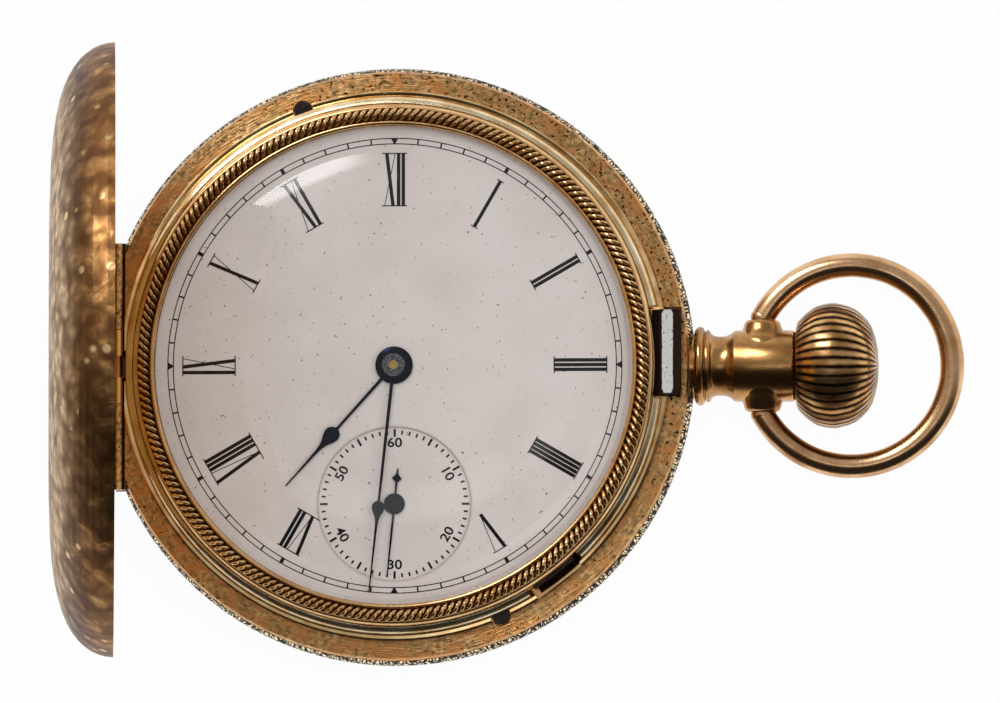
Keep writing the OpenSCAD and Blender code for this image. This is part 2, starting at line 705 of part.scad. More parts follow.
module bow() {
  color("goldenrod") translate([bow_pivot_x, 0, stem_z]) {
    translate([bow_mid, 0, 0]) rotate([0, 0, -bow_end_angle]) rotate_extrude(angle=2 * bow_end_angle, $fn=96)
      translate([bow_ring_r, 0]) circle(r=bow_wire / 2);
    for (s = [-1, 1]) {
      translate([0, s * bow_end_y, 0]) sphere(r=bow_wire / 2 + 0.04);
      along_y(0, 0, s > 0 ? ear_span / 2 - ear_depth + 0.1 : -bow_end_y,
        s > 0 ? bow_end_y : -ear_span / 2 + ear_depth - 0.1, bow_pin_r);
    }
  }
}

// Bezel and crystal
lip_r = sight_r + bezel_rim_w;
crystal_edge_r = sight_r + 0.4;
z_crystal = z_bezel1 - 1.05;
module bezel() {
  color("goldenrod") rotate_extrude($fn=96) polygon([
    [dial_r + 0.2, z_seat - 0.4], [seat_r - 0.05, z_seat - 0.4], [seat_r - 0.05, z_seat],
    [foot_r, z_seat], [foot_r, z_rim + 0.25], [foot_r - 0.2, z_bezel1 - 0.9],
    [foot_r - 0.3, z_bezel1 - 0.35], [foot_r - 0.55, z_bezel1 - 0.05], [foot_r - 0.85, z_bezel1],
    [lip_r + 0.2, z_bezel1 - 0.12], [lip_r, z_bezel1 - 0.35], [lip_r - 0.1, z_bezel1 - 0.25],
    [lip_r - 0.4, z_bezel1 - 0.3], [sight_r, z_bezel1 - 0.45], [sight_r, z_crystal + 0.3],
    [crystal_edge_r, z_crystal + 0.3], [crystal_edge_r, z_crystal], [sight_r - 0.1, z_crystal],
    [sight_r - 0.1, z_crystal - 0.3], [dial_r + 0.2, z_crystal - 0.6]
  ]);
}
module crystal() {
  rim = crystal_edge_r - 0.04;
  color("lightcyan", 0.35) rotate_extrude($fn=96) polygon([
    [0, z_crystal + crystal_rise + 0.3], [crystal_bevel_r * 0.35, z_crystal + crystal_rise + 0.22],
    [crystal_bevel_r * 0.7, z_crystal + crystal_rise - 0.02], [crystal_bevel_r, z_crystal + crystal_rise - 0.4],
    [sight_r - 0.15, z_crystal + 0.75], [sight_r - 0.1, z_crystal + 0.28], [rim, z_crystal + 0.28],
    [rim, z_crystal + 0.02], [sight_r - 0.3, z_crystal + 0.02],
    [crystal_bevel_r, z_crystal + crystal_rise - 0.4 - crystal_t],
    [crystal_bevel_r * 0.7, z_crystal + crystal_rise - 0.02 - crystal_t],
    [0, z_crystal + crystal_rise + 0.3 - crystal_t]
  ]);
}

// Dial
centre_hole_r = 1.42;
pipe_r = 1.3;
module dial() {
  color("gainsboro") difference() {
    disc(dial_r, z_dial0, z_dial1);
    disc(centre_hole_r, z_dial0 - 1, z_dial1 + 1);
    at(fourth_at) disc(seconds_r, z_dial0 - 1, z_dial1 + 1);
  }
}
module seconds_dial() {
  color("gainsboro") at(fourth_at) {
    difference() {
      union() {
        disc(seconds_r, z_sub - 0.35, z_sub);
        disc(seconds_r + 0.5, z_dial0 - 0.3, z_dial0);
      }
      disc(0.45, z_dial0 - 1, z_dial1);
    }
  }
}
module dial_feet() {
  color("peru") for (p = dial_feet_at) {
    at(p) disc(dial_foot_r, z_plate0 + 0.3, norm(p - fourth_at) < seconds_r + 1 ? z_dial0 - 0.3 : z_dial0);
  }
}

// Hands point along +Y and turn clockwise
module hand_blade(len, tail, bulb_at, bulb_r, width, root) {
  up = [[width * 0.6, root], [width * 0.5, bulb_at - bulb_r], [bulb_r * 0.7, bulb_at - bulb_r * 0.7],
    [bulb_r, bulb_at], [bulb_r * 0.8, bulb_at + bulb_r * 0.7], [width * 0.5, bulb_at + bulb_r * 3], [0.05, len]];
  down = tail > 0 ? [[width * 0.5, -tail], [width * 0.5, -tail * 0.82], [0.42, -tail * 0.72],
    [width * 0.7, -tail * 0.55], [width, -root]] : [];
  side = concat(down, up);
  polygon(concat(side, [for (i = [len(side) - 1:-1:0]) [-side[i][0], side[i][1]]]));
}
module hour_hand() {
  color("midnightblue") {
    tube(hub_r + 0.05, pipe_r, z_hour, z_hour + hand_t);
    rotate([0, 0, -hour_dir]) translate([0, 0, z_hour]) linear_extrude(height=hand_t)
      hand_blade(hour_len, 0, hour_len * 0.573, 0.62, 0.2, pipe_r + 0.1);
  }
}
module minute_hand() {
  color("midnightblue") {
    tube(hub_r, cannon_top_r, z_minute, z_minute + hand_t);
    rotate([0, 0, -minute_dir]) translate([0, 0, z_minute]) linear_extrude(height=hand_t)
      hand_blade(minute_len, 0, minute_len * 0.626, 0.56, 0.19, cannon_top_r + 0.1);
  }
}
module seconds_hand() {
  color("midnightblue") at(fourth_at) {
    rotate([0, 0, -seconds_dir]) translate([0, 0, z_second]) linear_extrude(height=hand_t - 0.02)
      hand_blade(seconds_len, 3.15, seconds_len * 0.6, 0.1, 0.14, 0.3);
    disc(0.92, z_second, z_second + 0.26);
  }
}
cannon_r = 0.85;
cannon_top_r = 1;
module cannon_pinion() {
  color("silver") difference() {
    union() {
      leaves(cannon_teeth, cannon_m, 0, z_plate1 + 0.1, z_plate1 + 0.45);
      disc(0.6, z_plate1 + 0.05, z_plate1 + 0.6);
      disc(cannon_r - 0.03, z_plate1 + 0.45, z_minute - 0.03);
      disc(cannon_top_r, z_minute - 0.05, z_minute + hand_t + 0.35);
    }
    disc(arbor_r, 0, z_over);
  }
}
z_hour_wheel = z_plate1 + 0.5;
module hour_wheel() {
  color("goldenrod") difference() {
    union() {
      gear(hour_teeth, hour_m, 0, z_hour_wheel, z_hour_wheel + 0.25);
      disc(pipe_r, z_hour_wheel, z_hour + hand_t + 0.06);
    }
    disc(cannon_r + run_fit, 0, z_over);
  }
}
module minute_wheel() {
  color("goldenrod") at(minute_at) difference() {
    union() {
      gear(minute_teeth, cannon_m, mesh_phase(centre_at, minute_at, cannon_teeth, minute_teeth, 0),
        z_plate1 + 0.1, z_plate1 + 0.4);
      leaves(cannon_teeth, hour_m, mesh_phase(centre_at, minute_at, hour_teeth, cannon_teeth, 0),
        z_plate1 + 0.4, z_plate1 + motion_gap - 0.1);
    }
    disc(post_r + run_fit, 0, z_over);
  }
}
post_r = 0.25;
lever_len = 6.79;
module setting_lever() {
  color("dimgray") rotate([0, 0, lever_angle]) {
    block(seat_r - lever_len, seat_r + 0.3, -0.8, 0.8, z_plate1 + 0.06, z_plate1 + 0.5);
    block(seat_r - 0.4, ring_out - 0.05 - lever_travel - 0.1, -lever_slot_w / 2 + 0.25, lever_slot_w / 2 - 0.25,
      z_plate1 + 0.06, z_plate1 + 0.5);
    difference() {
      block(seat_r + 0.12, ring_out - 0.15 - lever_travel, -lever_slot_w / 2 + 0.25,
        lever_slot_w / 2 - 0.25, z_plate1 + 0.4, z_seat - 0.06);
      translate([ring_out + 0.2 - lever_travel, 0, z_plate1 + 0.5]) cylinder(r=0.9, h=3);
    }
  }
}

// Plates and bridges
module plate_outline(r, z0, z1) {
  intersection() {
    disc(r, z0, z1);
    children();
  }
}
jewel_sites = [third_at, fourth_at, escape_at, pallet_at, balance_at];
module main_plate() {
  color("khaki") difference() {
    union() {
      disc(plate_r, z_plate0, z_plate1);
      disc(flange_r, z_ledge, z_plate1);
    }
    at(barrel_at) disc(drum_m * barrel_teeth / 2 + 0.5, z_plate0 - 1, z_barrel1 + 0.1);
    at(barrel_at) disc(pivot_big + run_fit, z_plate0 - 1, z_plate1 + 1);
    disc(arbor_r + run_fit, z_plate0 - 1, z_plate1 + 1);
    for (p = jewel_sites) {
      at(p) disc(jewel_r, z_plate0 - 1, z_plate0 + 0.6);
      at(p) disc(0.35, z_plate0 - 1, z_plate1 - (p == fourth_at ? -1 : 0.4));
    }
    for (p = dial_feet_at) at(p) disc(dial_foot_r + 0.05, z_plate0 - 1, z_plate1 + 1);
    along_x(stem_in_x - press_travel - 0.1, flange_r + 1, stem_z, stem_r + 0.1);
    block(wind_pinion_x - wind_pinion_half - 0.1, wind_pinion_x + wind_pinion_half + 0.1,
      -2.3, 2.3, z_plate0 - 1, z_plate1 + 1);
    block(plate_r - 0.25, flange_r + 1, -1.8, 1.8, z_plate0 - 1, z_plate1 + 1);
    for (p = case_screws_at) at(p) disc(screw_head_r + 0.5, z_ledge - 1, z_plate1 + 1);
  }
  color("khaki") at(minute_at) disc(post_r, z_plate1 - 0.1, z_plate1 + motion_gap - 0.08);
}
module pillar_holes(list) {
  for (p = list) at(p) disc(0.4, z_bridge0 - 1, z_bridge1 + 1);
}
module bridge_region(y0, y1, x0) {
  difference() {
    plate_outline(plate_r - 0.3, z_bridge0, z_bridge1) block(x0, plate_r, y0, y1, 0, z_plate0);
    at(balance_at) disc(balance_rim_r + 0.5, z_bridge0 - 1, z_bridge1 + 1);
  }
}
split_y = -4.7 * train_k;
train_bridge_x = -9.4 * train_k;
module barrel_bridge() {
  color("khaki") difference() {
    bridge_region(split_y, plate_r, -plate_r);
    disc(arbor_r - 0.1 + run_fit, z_bridge0 - 1, z_bridge1 + 1);
    at(barrel_at) disc(pivot_big + run_fit, z_bridge0 - 1, z_bridge1 + 1);
    at(click_at) disc(0.3, z_bridge0 - 1, z_bridge1 + 1);
    pillar_holes(barrel_pillars);
    at(crown_wheel_at) disc(crown_pitch_r + 0.95, z_bridge0 - 1, z_bridge1 + 1);
  }
}
module train_bridge() {
  color("khaki") difference() {
    bridge_region(-plate_r, split_y - 0.15, train_bridge_x);
    pillar_holes(train_pillars);
    for (p = [third_at, fourth_at, escape_at]) at(p) disc(jewel_r, z_bridge0 - 1, z_bridge1 + 1);
  }
}
module bar(p, q, w, z0, z1) {
  a = bearing(p, q);
  side = w / 2 - 0.03;
  at(p) rotate([0, 0, a]) block(0, dist(p, q), -side, side, z0, z1);
  at(p) disc(w / 2, z0, z1);
  at(q) disc(w / 2, z0, z1);
}
module balance_cock() {
  color("khaki") difference() {
    intersection() {
      union() {
        bar(cock_foot, balance_at, 2, z_cock0, z_cock1);
        at(cock_foot) disc(foot_pillar_r, z_cock0, z_plate0);
        at(balance_at) disc(2.2, z_cock0, z_cock1);
      }
      union() {
        disc(plate_r, z_dust_rim, z_plate1);
        translate([0, 0, z_dust_rim]) mirror([0, 0, 1])
          dome(dust_r - dust_wall - 0.12, z_dust_rim - z_dust1 - 0.12, back_flat_r, back_power);
      }
    }
    at(balance_at) disc(jewel_r, z_cock0 - 1, z_cock1 + 1);
    at(cock_foot) disc(0.4, z_cock0 - 1, z_plate0 + 1);
    at(cock_foot) disc(0.7, z_cock0 - 1, z_cock0 + 1);
  }
}
module pallet_bridge() {
  color("khaki") difference() {
    union() {
      at(pallet_at) rotate([0, 0, pallet_dir]) block(-4.3, 3.7, -0.72, 0.72, z_pallet0, z_pallet1);
      for (p = pallet_pillars) at(p) disc(pallet_pillar_r, z_pallet1 - 0.1, z_plate0);
    }
    at(pallet_at) disc(jewel_r - 0.2, z_pallet0 - 1, z_pallet1 + 1);
    for (p = pallet_pillars) at(p) disc(0.2, z_pallet0 - 1, z_plate0 + 1);
  }
}
module pillars() {
  color("khaki") for (p = concat(barrel_pillars, train_pillars)) {
    at(p) tube(pillar_r, 0.4, z_bridge1, z_plate0);
  }
}
module plate_screws() {
  color("midnightblue") {
    for (p = concat(barrel_pillars, train_pillars)) {
      at(p) {
        difference() {
          disc(screw_head_r, z_bridge0 - 0.3, z_bridge0);
          block(-1, 1, -0.1, 0.1, z_bridge0 - 1, z_bridge0 - 0.15);
        }
        disc(0.39, z_bridge0 - 0.1, z_plate0);
      }
    }
    at(cock_foot) {
      disc(0.39, z_cock0 + 0.8, z_plate0);
      disc(0.65, z_cock0 + 0.62, z_cock0 + 1);
    }
  }
}
module jewels() {
  color("crimson") {
    for (p = jewel_sites) {
      hole = p == fourth_at ? 0.2 + run_fit : pivot_r + run_fit;
      at(p) tube(jewel_r - 0.005, hole, z_plate0, z_plate0 + 0.6);
    }
    for (p = [third_at, fourth_at, escape_at]) {
      at(p) tube(jewel_r - 0.005, pivot_r + run_fit, z_bridge0 + 0.1, z_bridge1 - 0.05);
    }
    at(balance_at) tube(jewel_r - 0.005, pivot_r + run_fit, z_cock0, z_cock1);
    at(pallet_at) tube(jewel_r - 0.205, pivot_r + run_fit, z_pallet0, z_pallet1);
  }
}

// Going train
pivot_big = 0.8;
barrel_body_r = drum_m * barrel_teeth / 2 - 0.45;
z_barrel_teeth = z_barrel0 + 0.95;
module barrel() {
  phase = mesh_phase(centre_at, barrel_at, pinion_leaves, barrel_teeth, 0);
  color("goldenrod") at(barrel_at) difference() {
    union() {
      disc(barrel_body_r, z_barrel0 + 0.3, z_barrel1);
      gear(barrel_teeth, drum_m, phase, z_barrel_teeth, z_barrel_teeth + 0.45);
    }
    disc(barrel_body_r - 0.45, z_barrel0 - 1, z_barrel1 - 0.3);
    disc(barrel_arbor_r + run_fit, z_barrel0 - 1, z_barrel1 + 1);
  }
}
barrel_arbor_r = 1.1;
module barrel_cover() {
  color("goldenrod") at(barrel_at) tube(barrel_body_r, barrel_arbor_r + run_fit, z_barrel0, z_barrel0 + 0.3);
}
module barrel_arbor() {
  color("silver") at(barrel_at) {
    disc(pivot_big, z_wind0 + 0.05, z_barrel0);
    disc(barrel_arbor_r, z_barrel0 - 0.02, z_barrel1);
    disc(pivot_big, z_barrel1 - 0.01, z_barrel1 + 0.6);
  }
}
module mainspring() {
  outer = barrel_body_r - 0.45 - 0.2;
  color("slategray") at(barrel_at)
    spiral(barrel_arbor_r + 0.25, outer, main_turns, 0, 0.25, z_barrel0 + 0.35, z_barrel1 - 0.35);
}
module arbor(p, r, z0, z1, tip) {
  at(p) disc(r, z0, z1);
  at(p) disc(pivot_r, z0 - 0.55, z0 + 0.01);
  at(p) disc(pivot_r, z1 - 0.01, tip);
}
module centre_wheel() {
  color("gold") {
    wheel(centre_teeth, centre_m, 0, z_centre0, z_centre1, 5);
    leaves(pinion_leaves, drum_m, 0, z_centre1 - 0.01, z_barrel_teeth + 0.55);
    disc(arbor_r, z_barrel_teeth + 0.5, z_minute + hand_t + 0.3);
    disc(arbor_r - 0.1, z_bridge0 + 0.05, z_centre0 + 0.01);
    disc(hub_tip_r, z_minute + hand_t + 0.29, z_minute + hand_t + 0.42);
  }
}
hub_tip_r = 0.28;
module third_wheel() {
  phase = mesh_phase(centre_at, third_at, centre_teeth, pinion_leaves, 0);
  color("gold") {
    at(third_at) wheel(third_teeth, third_scale, 0, z_third0, z_third1, 5);
    at(third_at) leaves(pinion_leaves, centre_m, phase, z_centre0, z_third0 + 0.01);
    arbor(third_at, 0.35, z_third1 - 0.01, z_plate0 - 0.05, z_plate0 + 0.5);
    at(third_at) disc(pivot_r, z_bridge0 + 0.2, z_centre0 + 0.01);
  }
}
module fourth_wheel() {
  phase = mesh_phase(third_at, fourth_at, third_teeth, pinion_leaves, 0);
  color("gold") {
    at(fourth_at) wheel(fourth_teeth, fourth_m, 0, z_fourth0, z_fourth1, 5);
    at(fourth_at) leaves(pinion_leaves, third_scale, phase, z_third0 - 0.1, z_fourth0 + 0.01);
    at(fourth_at) disc(0.35, z_centre0 + 0.05, z_third0 - 0.09);
    at(fourth_at) disc(pivot_r, z_bridge0 + 0.2, z_centre0 + 0.06);
    at(fourth_at) disc(0.35, z_fourth1 - 0.01, z_plate0 - 0.05);
    at(fourth_at) disc(0.2, z_plate0 - 0.06, z_second);
  }
}
escape_root_r = escape_tip_r - 0.85;
function escape_points() = [for (i = [0:escape_teeth - 1]) let(a = 360 * i / escape_teeth)
  for (p = [polar(escape_root_r, a - 7), polar(escape_tip_r, a - 1), polar(escape_tip_r, a + 2),
    polar(escape_root_r, a + 3)]) p];
module escape_wheel() {
  phase = mesh_phase(fourth_at, escape_at, fourth_teeth, escape_leaves, 0);
  color("gold") {
    at(escape_at) difference() {
      translate([0, 0, z_escape0]) linear_extrude(height=z_escape1 - z_escape0) polygon(escape_points());
      for (i = [0:3]) at(polar(escape_root_r - 0.8, 90 * i + 45)) disc(0.45, z_escape0 - 1, z_escape1 + 1);
    }
    at(escape_at) leaves(escape_leaves, fourth_m, phase, z_escape1 - 0.01, z_fourth1 + 0.15);
    at(escape_at) disc(0.3, z_centre0 + 0.05, z_escape0 + 0.01);
    at(escape_at) disc(pivot_r, z_bridge0 + 0.2, z_centre0 + 0.06);
    at(escape_at) disc(0.3, z_fourth1 + 0.14, z_plate0 - 0.05);
    at(escape_at) disc(pivot_r, z_plate0 - 0.06, z_plate0 + 0.5);
  }
}

// Escapement and balance
pin_orbit = 1.05;
pin_r = 0.15;
fork_len = dist(pallet_at, balance_at) - pin_orbit - 0.09;
module pallet_fork() {
  body = [[-0.2, 0.3], [-0.3, 1.2], [-0.75, 1.75], [-0.75, 2.1], [-0.2, 2.1], [0.1, 0.5], [1.2, 0.24],
    [fork_len - 1, 0.2], [fork_len - 0.6, 0.9], [fork_len - 0.12, 0.9], [fork_len, 0.52], [fork_len - 0.5, 0.5]];
  outline = concat(body, [for (i = [len(body) - 1:-1:0]) [body[i][0], -body[i][1]]]);
  color("silver") at(pallet_at) {
    rotate([0, 0, bearing(pallet_at, balance_at)])
      translate([0, 0, z_escape0]) linear_extrude(height=z_escape1 - z_escape0) polygon(outline);
    disc(0.25, z_escape1 - 0.01, z_plate0 - 0.05);
    disc(0.25, z_pallet1 + 0.02, z_escape0 + 0.01);
    disc(pivot_r, z_pallet0 + 0.05, z_pallet1 + 0.03);
    disc(pivot_r, z_plate0 - 0.06, z_plate0 + 0.5);
  }
}
balance_screws = 12;
module balance_wheel() {
  color("darkkhaki") at(balance_at) {
    tube(balance_rim_r - 0.35, balance_rim_r - 1.15, z_bal0, z_bal1);
    difference() {
      block(-balance_rim_r + 0.9, balance_rim_r - 0.9, -0.5, 0.5, z_bal0 + 0.2, z_bal0 + 0.6);
      disc(staff_r + 0.3, 0, z_over);
    }
    for (i = [0:balance_screws - 1]) rotate([0, 0, 15 + 360 * i / balance_screws])
      along_x(balance_rim_r - 0.4, balance_rim_r, (z_bal0 + z_bal1) / 2, 0.3);
  }
}
module balance_staff() {
  color("silver") at(balance_at) {
    disc(staff_r, z_cock1 + 0.05, z_plate0 - 0.05);
    disc(staff_r + 0.3, z_bal0, z_bal1);
    disc(pivot_r, z_cock0 + 0.1, z_cock1 + 0.06);
    disc(pivot_r, z_plate0 - 0.06, z_plate0 + 0.5);
    disc(1.35, z_escape0 - 0.35, z_escape0 - 0.15);
    rotate([0, 0, bearing(balance_at, pallet_at)]) at([pin_orbit, 0])
      disc(pin_r, z_escape0 - 0.16, z_escape1);
  }
}
hair_in = 0.95;
hair_out = 4.1;
hair_end = bearing(balance_at, cock_foot);
echo(hairspring_gap = (hair_out - hair_in) / hair_turns - hair_t);
module hairspring() {
  color("steelblue") at(balance_at)
    spiral(hair_in, hair_out, hair_turns, hair_end, hair_t, z_hair0, z_hair1);
}
module hairspring_stud() {
  color("silver") at(balance_at) at(polar(hair_out + hair_t / 2 + 0.25, hair_end))
    disc(0.24, z_cock1, z_hair1);
}
module regulator() {
  color("silver") at(balance_at) {
    difference() {
      union() {
        disc(1.7, z_reg0, z_reg0 + regulator_t);
        rotate([0, 0, hair_end + 205]) block(0, 5.2, -0.25, 0.25, z_reg0, z_reg0 + regulator_t);
        rotate([0, 0, hair_end - 45]) block(0, hair_out + 0.35, -0.25, 0.25, z_reg0, z_reg0 + regulator_t);
      }
      disc(1, z_reg0 - 1, z_reg0 + 1);
    }
    at(polar(hair_out + 0.2, hair_end - 45)) disc(0.1, z_reg0 + 0.1, z_hair1);
  }
}

// Winding work
crown_core_r = 1.2;
module winding_pinion() {
  color("silver") translate([wind_pinion_x - wind_pinion_half, 0, stem_z]) rotate([0, 90, 0]) difference() {
    leaves(wind_leaves, wind_m, 180 / wind_leaves, 0, 2 * wind_pinion_half);
    translate([0, 0, -1]) cylinder(r=stem_r + run_fit, h=4);
  }
}
module crown_wheel() {
  step = 360 / crown_wheel_teeth;
  color("silver") at(crown_wheel_at) {
    difference() {
      gear(crown_wheel_teeth, wind_m, 0, z_wind0, z_wind1);
      disc(crown_core_r + run_fit, 0, z_over);
    }
    tube(crown_pitch_r - 0.3, crown_pitch_r - 0.5, z_wind1 - 0.1, z_contrate - 0.5);
    tube(crown_pitch_r + 0.4, crown_pitch_r - 0.5, z_contrate - 0.85, z_contrate - 0.5);
    for (i = [0:crown_wheel_teeth - 1]) rotate([0, 0, i * step])
      block(crown_pitch_r - 0.45, crown_pitch_r + 0.35, -0.1, 0.1, z_contrate - 0.51, z_contrate);
  }
}
module crown_wheel_core() {
  color("silver") at(crown_wheel_at) difference() {
    union() {
      disc(crown_core_r, z_wind0 - 0.02, z_bridge1 + 0.1);
      disc(0.75, z_bridge1, z_plate0);
      disc(crown_core_r + 0.6, z_wind0 - 0.25, z_wind0 - 0.02);
    }
    block(-2, 2, -0.12, 0.12, z_wind0 - 1, z_wind0 - 0.12);
  }
}
module ratchet_wheel() {
  phase = mesh_phase(crown_wheel_at, barrel_at, crown_wheel_teeth, ratchet_teeth, 0);
  color("silver") at(barrel_at) difference() {
    gear(ratchet_teeth, wind_m, phase, z_wind0, z_wind1);
    disc(pivot_big, 0, z_over);
  }
}
module ratchet_screw() {
  color("midnightblue") at(barrel_at) difference() {
    disc(1.7, z_wind0 - 0.25, z_wind0);
    block(-2, 2, -0.12, 0.12, z_wind0 - 1, z_wind0 - 0.12);
  }
}
click_nose = barrel_at + polar(ratchet_pitch_r + wind_m + 0.45, 150);
click_at = click_nose + polar(3.2, 205);
module click() {
  color("silver") difference() {
    union() {
      bar(click_at, click_nose, 0.7, z_wind0, z_wind1);
      at(click_at) disc(0.8, z_wind0, z_wind1);
    }
    at(click_at) disc(0.3 + run_fit, 0, z_over);
  }
}
module click_spring() {
  p = click_at + [-1.6, 2.4];
  color("steelblue") {
    bar(p, p + [3.4, -0.75], 0.3, z_wind0, z_wind1);
    at(p) disc(0.6, z_wind0, z_bridge0);
  }
}
module click_screw() {
  color("midnightblue") at(click_at) {
    disc(0.3, z_wind0 - 0.1, z_bridge1);
    disc(0.6, z_wind0 - 0.25, z_wind0 - 0.05);
  }
}

case_centre();
pendant();
pendant_sleeve();
bezel();
crystal();
front_hinge_pin();
back_hinge_pin();
case_screws();
spring_screws();
front_cover();
back_cover();
dust_cover();
lift_spring();
lock_spring();
bow();
crown();
stem();
winding_pinion();
dial();
seconds_dial();
dial_feet();
hour_hand();
minute_hand();
seconds_hand();
cannon_pinion();
hour_wheel();
minute_wheel();
setting_lever();
main_plate();
barrel_bridge();
train_bridge();
balance_cock();
pallet_bridge();
pillars();
plate_screws();
jewels();
barrel();
barrel_cover();
barrel_arbor();
mainspring();
ratchet_wheel();
ratchet_screw();
crown_wheel();
crown_wheel_core();
click();
click_spring();
click_screw();
centre_wheel();
third_wheel();
fourth_wheel();
escape_wheel();
pallet_fork();
balance_wheel();
balance_staff();
hairspring();
hairspring_stud();
regulator();
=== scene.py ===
"""Hunter pocket watch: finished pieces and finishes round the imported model, as an add-on."""

import math

import bpy
from mathutils import Matrix, Vector


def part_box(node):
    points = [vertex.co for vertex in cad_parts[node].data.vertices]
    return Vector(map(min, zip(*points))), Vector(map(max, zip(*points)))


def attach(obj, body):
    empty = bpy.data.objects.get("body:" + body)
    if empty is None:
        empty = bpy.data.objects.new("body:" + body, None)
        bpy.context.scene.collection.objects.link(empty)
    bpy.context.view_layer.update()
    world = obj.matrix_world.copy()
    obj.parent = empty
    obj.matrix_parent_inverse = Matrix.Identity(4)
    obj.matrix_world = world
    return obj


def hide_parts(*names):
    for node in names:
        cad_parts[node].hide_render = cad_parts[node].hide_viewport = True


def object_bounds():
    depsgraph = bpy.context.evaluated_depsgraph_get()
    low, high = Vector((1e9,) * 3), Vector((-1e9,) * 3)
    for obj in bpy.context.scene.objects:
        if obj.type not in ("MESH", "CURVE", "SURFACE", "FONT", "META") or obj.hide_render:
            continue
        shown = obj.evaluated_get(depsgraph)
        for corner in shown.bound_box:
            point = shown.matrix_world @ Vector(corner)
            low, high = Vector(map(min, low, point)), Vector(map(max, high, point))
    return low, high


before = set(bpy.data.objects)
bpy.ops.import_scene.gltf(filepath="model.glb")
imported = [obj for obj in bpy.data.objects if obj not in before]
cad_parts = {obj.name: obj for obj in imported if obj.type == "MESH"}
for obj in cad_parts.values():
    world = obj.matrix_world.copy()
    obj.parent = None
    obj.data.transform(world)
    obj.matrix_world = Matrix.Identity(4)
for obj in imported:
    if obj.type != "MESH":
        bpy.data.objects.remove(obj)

bl_info = {
    "name": "Hunter pocket watch",
    "version": (1, 0, 0),
    "blender": (4, 5, 0),
    "location": "3D View > Sidebar > Watch",
    "description": "Models and finishes the visible pieces of a hunter pocket watch",
    "category": "Add Mesh",
}

MM = 0.001
FULL_TURN = 2 * math.pi
CAD_BOX = [list(corner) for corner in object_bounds()]


def low(node):
    return Vector(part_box(node)[0]) / MM


def high(node):
    return Vector(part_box(node)[1]) / MM


# Levels and places in millimetres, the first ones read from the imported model
DIAL_TOP = high("dial").z
SUNK_TOP = high("seconds_dial").z
BEZEL_TOP = high("bezel").z
STEM_HEIGHT = (low("crown").z + high("crown").z) / 2
CROWN_RADIUS = (high("crown").z - low("crown").z) / 2
CROWN_BASE = low("crown").x
CROWN_LENGTH = high("crown").x - CROWN_BASE
HINGE_X = -24.3  # both hinge pins
FRONT_AXIS = 8.15  # height of the front hinge pin
FRONT_OPEN = 83.0  # degrees that the front cover stands open at rest
SHIELD_RADIUS = 5.5  # plain middle of a cover
RIM_START = 24.0  # inner radius of the case's flat rim
EDGE_RADIUS = 25.76  # inner radius of the case's engraved edge
SLOT_ANGLE = 51.6  # degrees below 3 o'clock, middle of the lever's dark recess
CATCH_X, CATCH_Y = 23.9, 1.1  # middle of the rubbed strip on the catch
SECONDS_Y = -12.1  # axis of the seconds hand
BOW_X = 32.05  # the bow's pivots
BOW_RADIUS = 8.8  # middle line of the bow's wire
BOW_WIRE = 1.05  # radius of the bow's wire
BOW_END = 4.15  # where the wire meets its shanks, from the stem's axis
LINE_STRETCH = 1.6  # length that a radian of polishing lines is drawn with
DOUBLES = 0.002 * MM  # points closer than this are one
PRINT_SUNK, PRINT_PROUD = 0.01, 0.012  # how far the dial's print goes into and over the enamel


def length(name, millimetres, text):
    return bpy.props.FloatProperty(
        name=name,
        description=text,
        default=millimetres * MM,
        subtype="DISTANCE",
        unit="LENGTH",
        precision=5,
    )


def tint(name, value, text):
    return bpy.props.StringProperty(name=name, description=text, default=value)


class WatchSizes(bpy.types.PropertyGroup):
    """Sizes of the pieces modelled here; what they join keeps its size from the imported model."""

    rope_teeth: bpy.props.IntProperty(
        name="Rope strands", description="Strands of the bezel's rope edge", default=211, min=120
    )
    rope_radius: length("Rope radius", 21.9, "Radius of the rope edge's middle line")
    rope_width: length("Rope width", 1.08, "Width of the rope edge")
    track_outer: length("Minute track radius", 19.9, "Radius of the minute track's outer line")
    track_inner: length(
        "Minute track inner radius", 19.42, "Radius of the minute track's inner line"
    )
    numeral_outer: length("Numeral top", 18.58, "Radius of the numerals' outer end")
    numeral_inner: length("Numeral foot", 13.98, "Radius of the numerals' inner end")
    stroke: length("Numeral stroke", 0.31, "Thickness of a numeral's heavy stroke")
    crown_ribs: bpy.props.IntProperty(
        name="Crown ribs", description="Ribs around the crown", default=42, min=12
    )
    camera_distance: length("Camera distance", 700, "Distance of the camera from the case")


class WatchColours(bpy.types.PropertyGroup):
    """Colours as sRGB hex values."""

    enamel: tint("Enamel", "#DDD5D4", "Fired enamel of the dial")
    ink: tint("Dial print", "#08080B", "Fired black print")
    blued: tint("Blued steel", "#101A30", "Heat-blued steel")
    brass: tint("Gilt brass", "#D8B878", "Gilt plates and wheels")
    ruby: tint("Ruby", "#B0183A", "Jewel bearings")


def sizes():
    return bpy.context.scene.watch_sizes


def colours():
    return bpy.context.scene.watch_colours


# Making and shaping


def deselect():
    if bpy.context.object and bpy.context.object.mode != "OBJECT":
        bpy.ops.object.mode_set(mode="OBJECT")
    bpy.ops.object.select_all(action="DESELECT")


def pick(*objects):
    deselect()
    for item in objects:
        item.select_set(True)
    bpy.context.view_layer.objects.active = objects[-1]


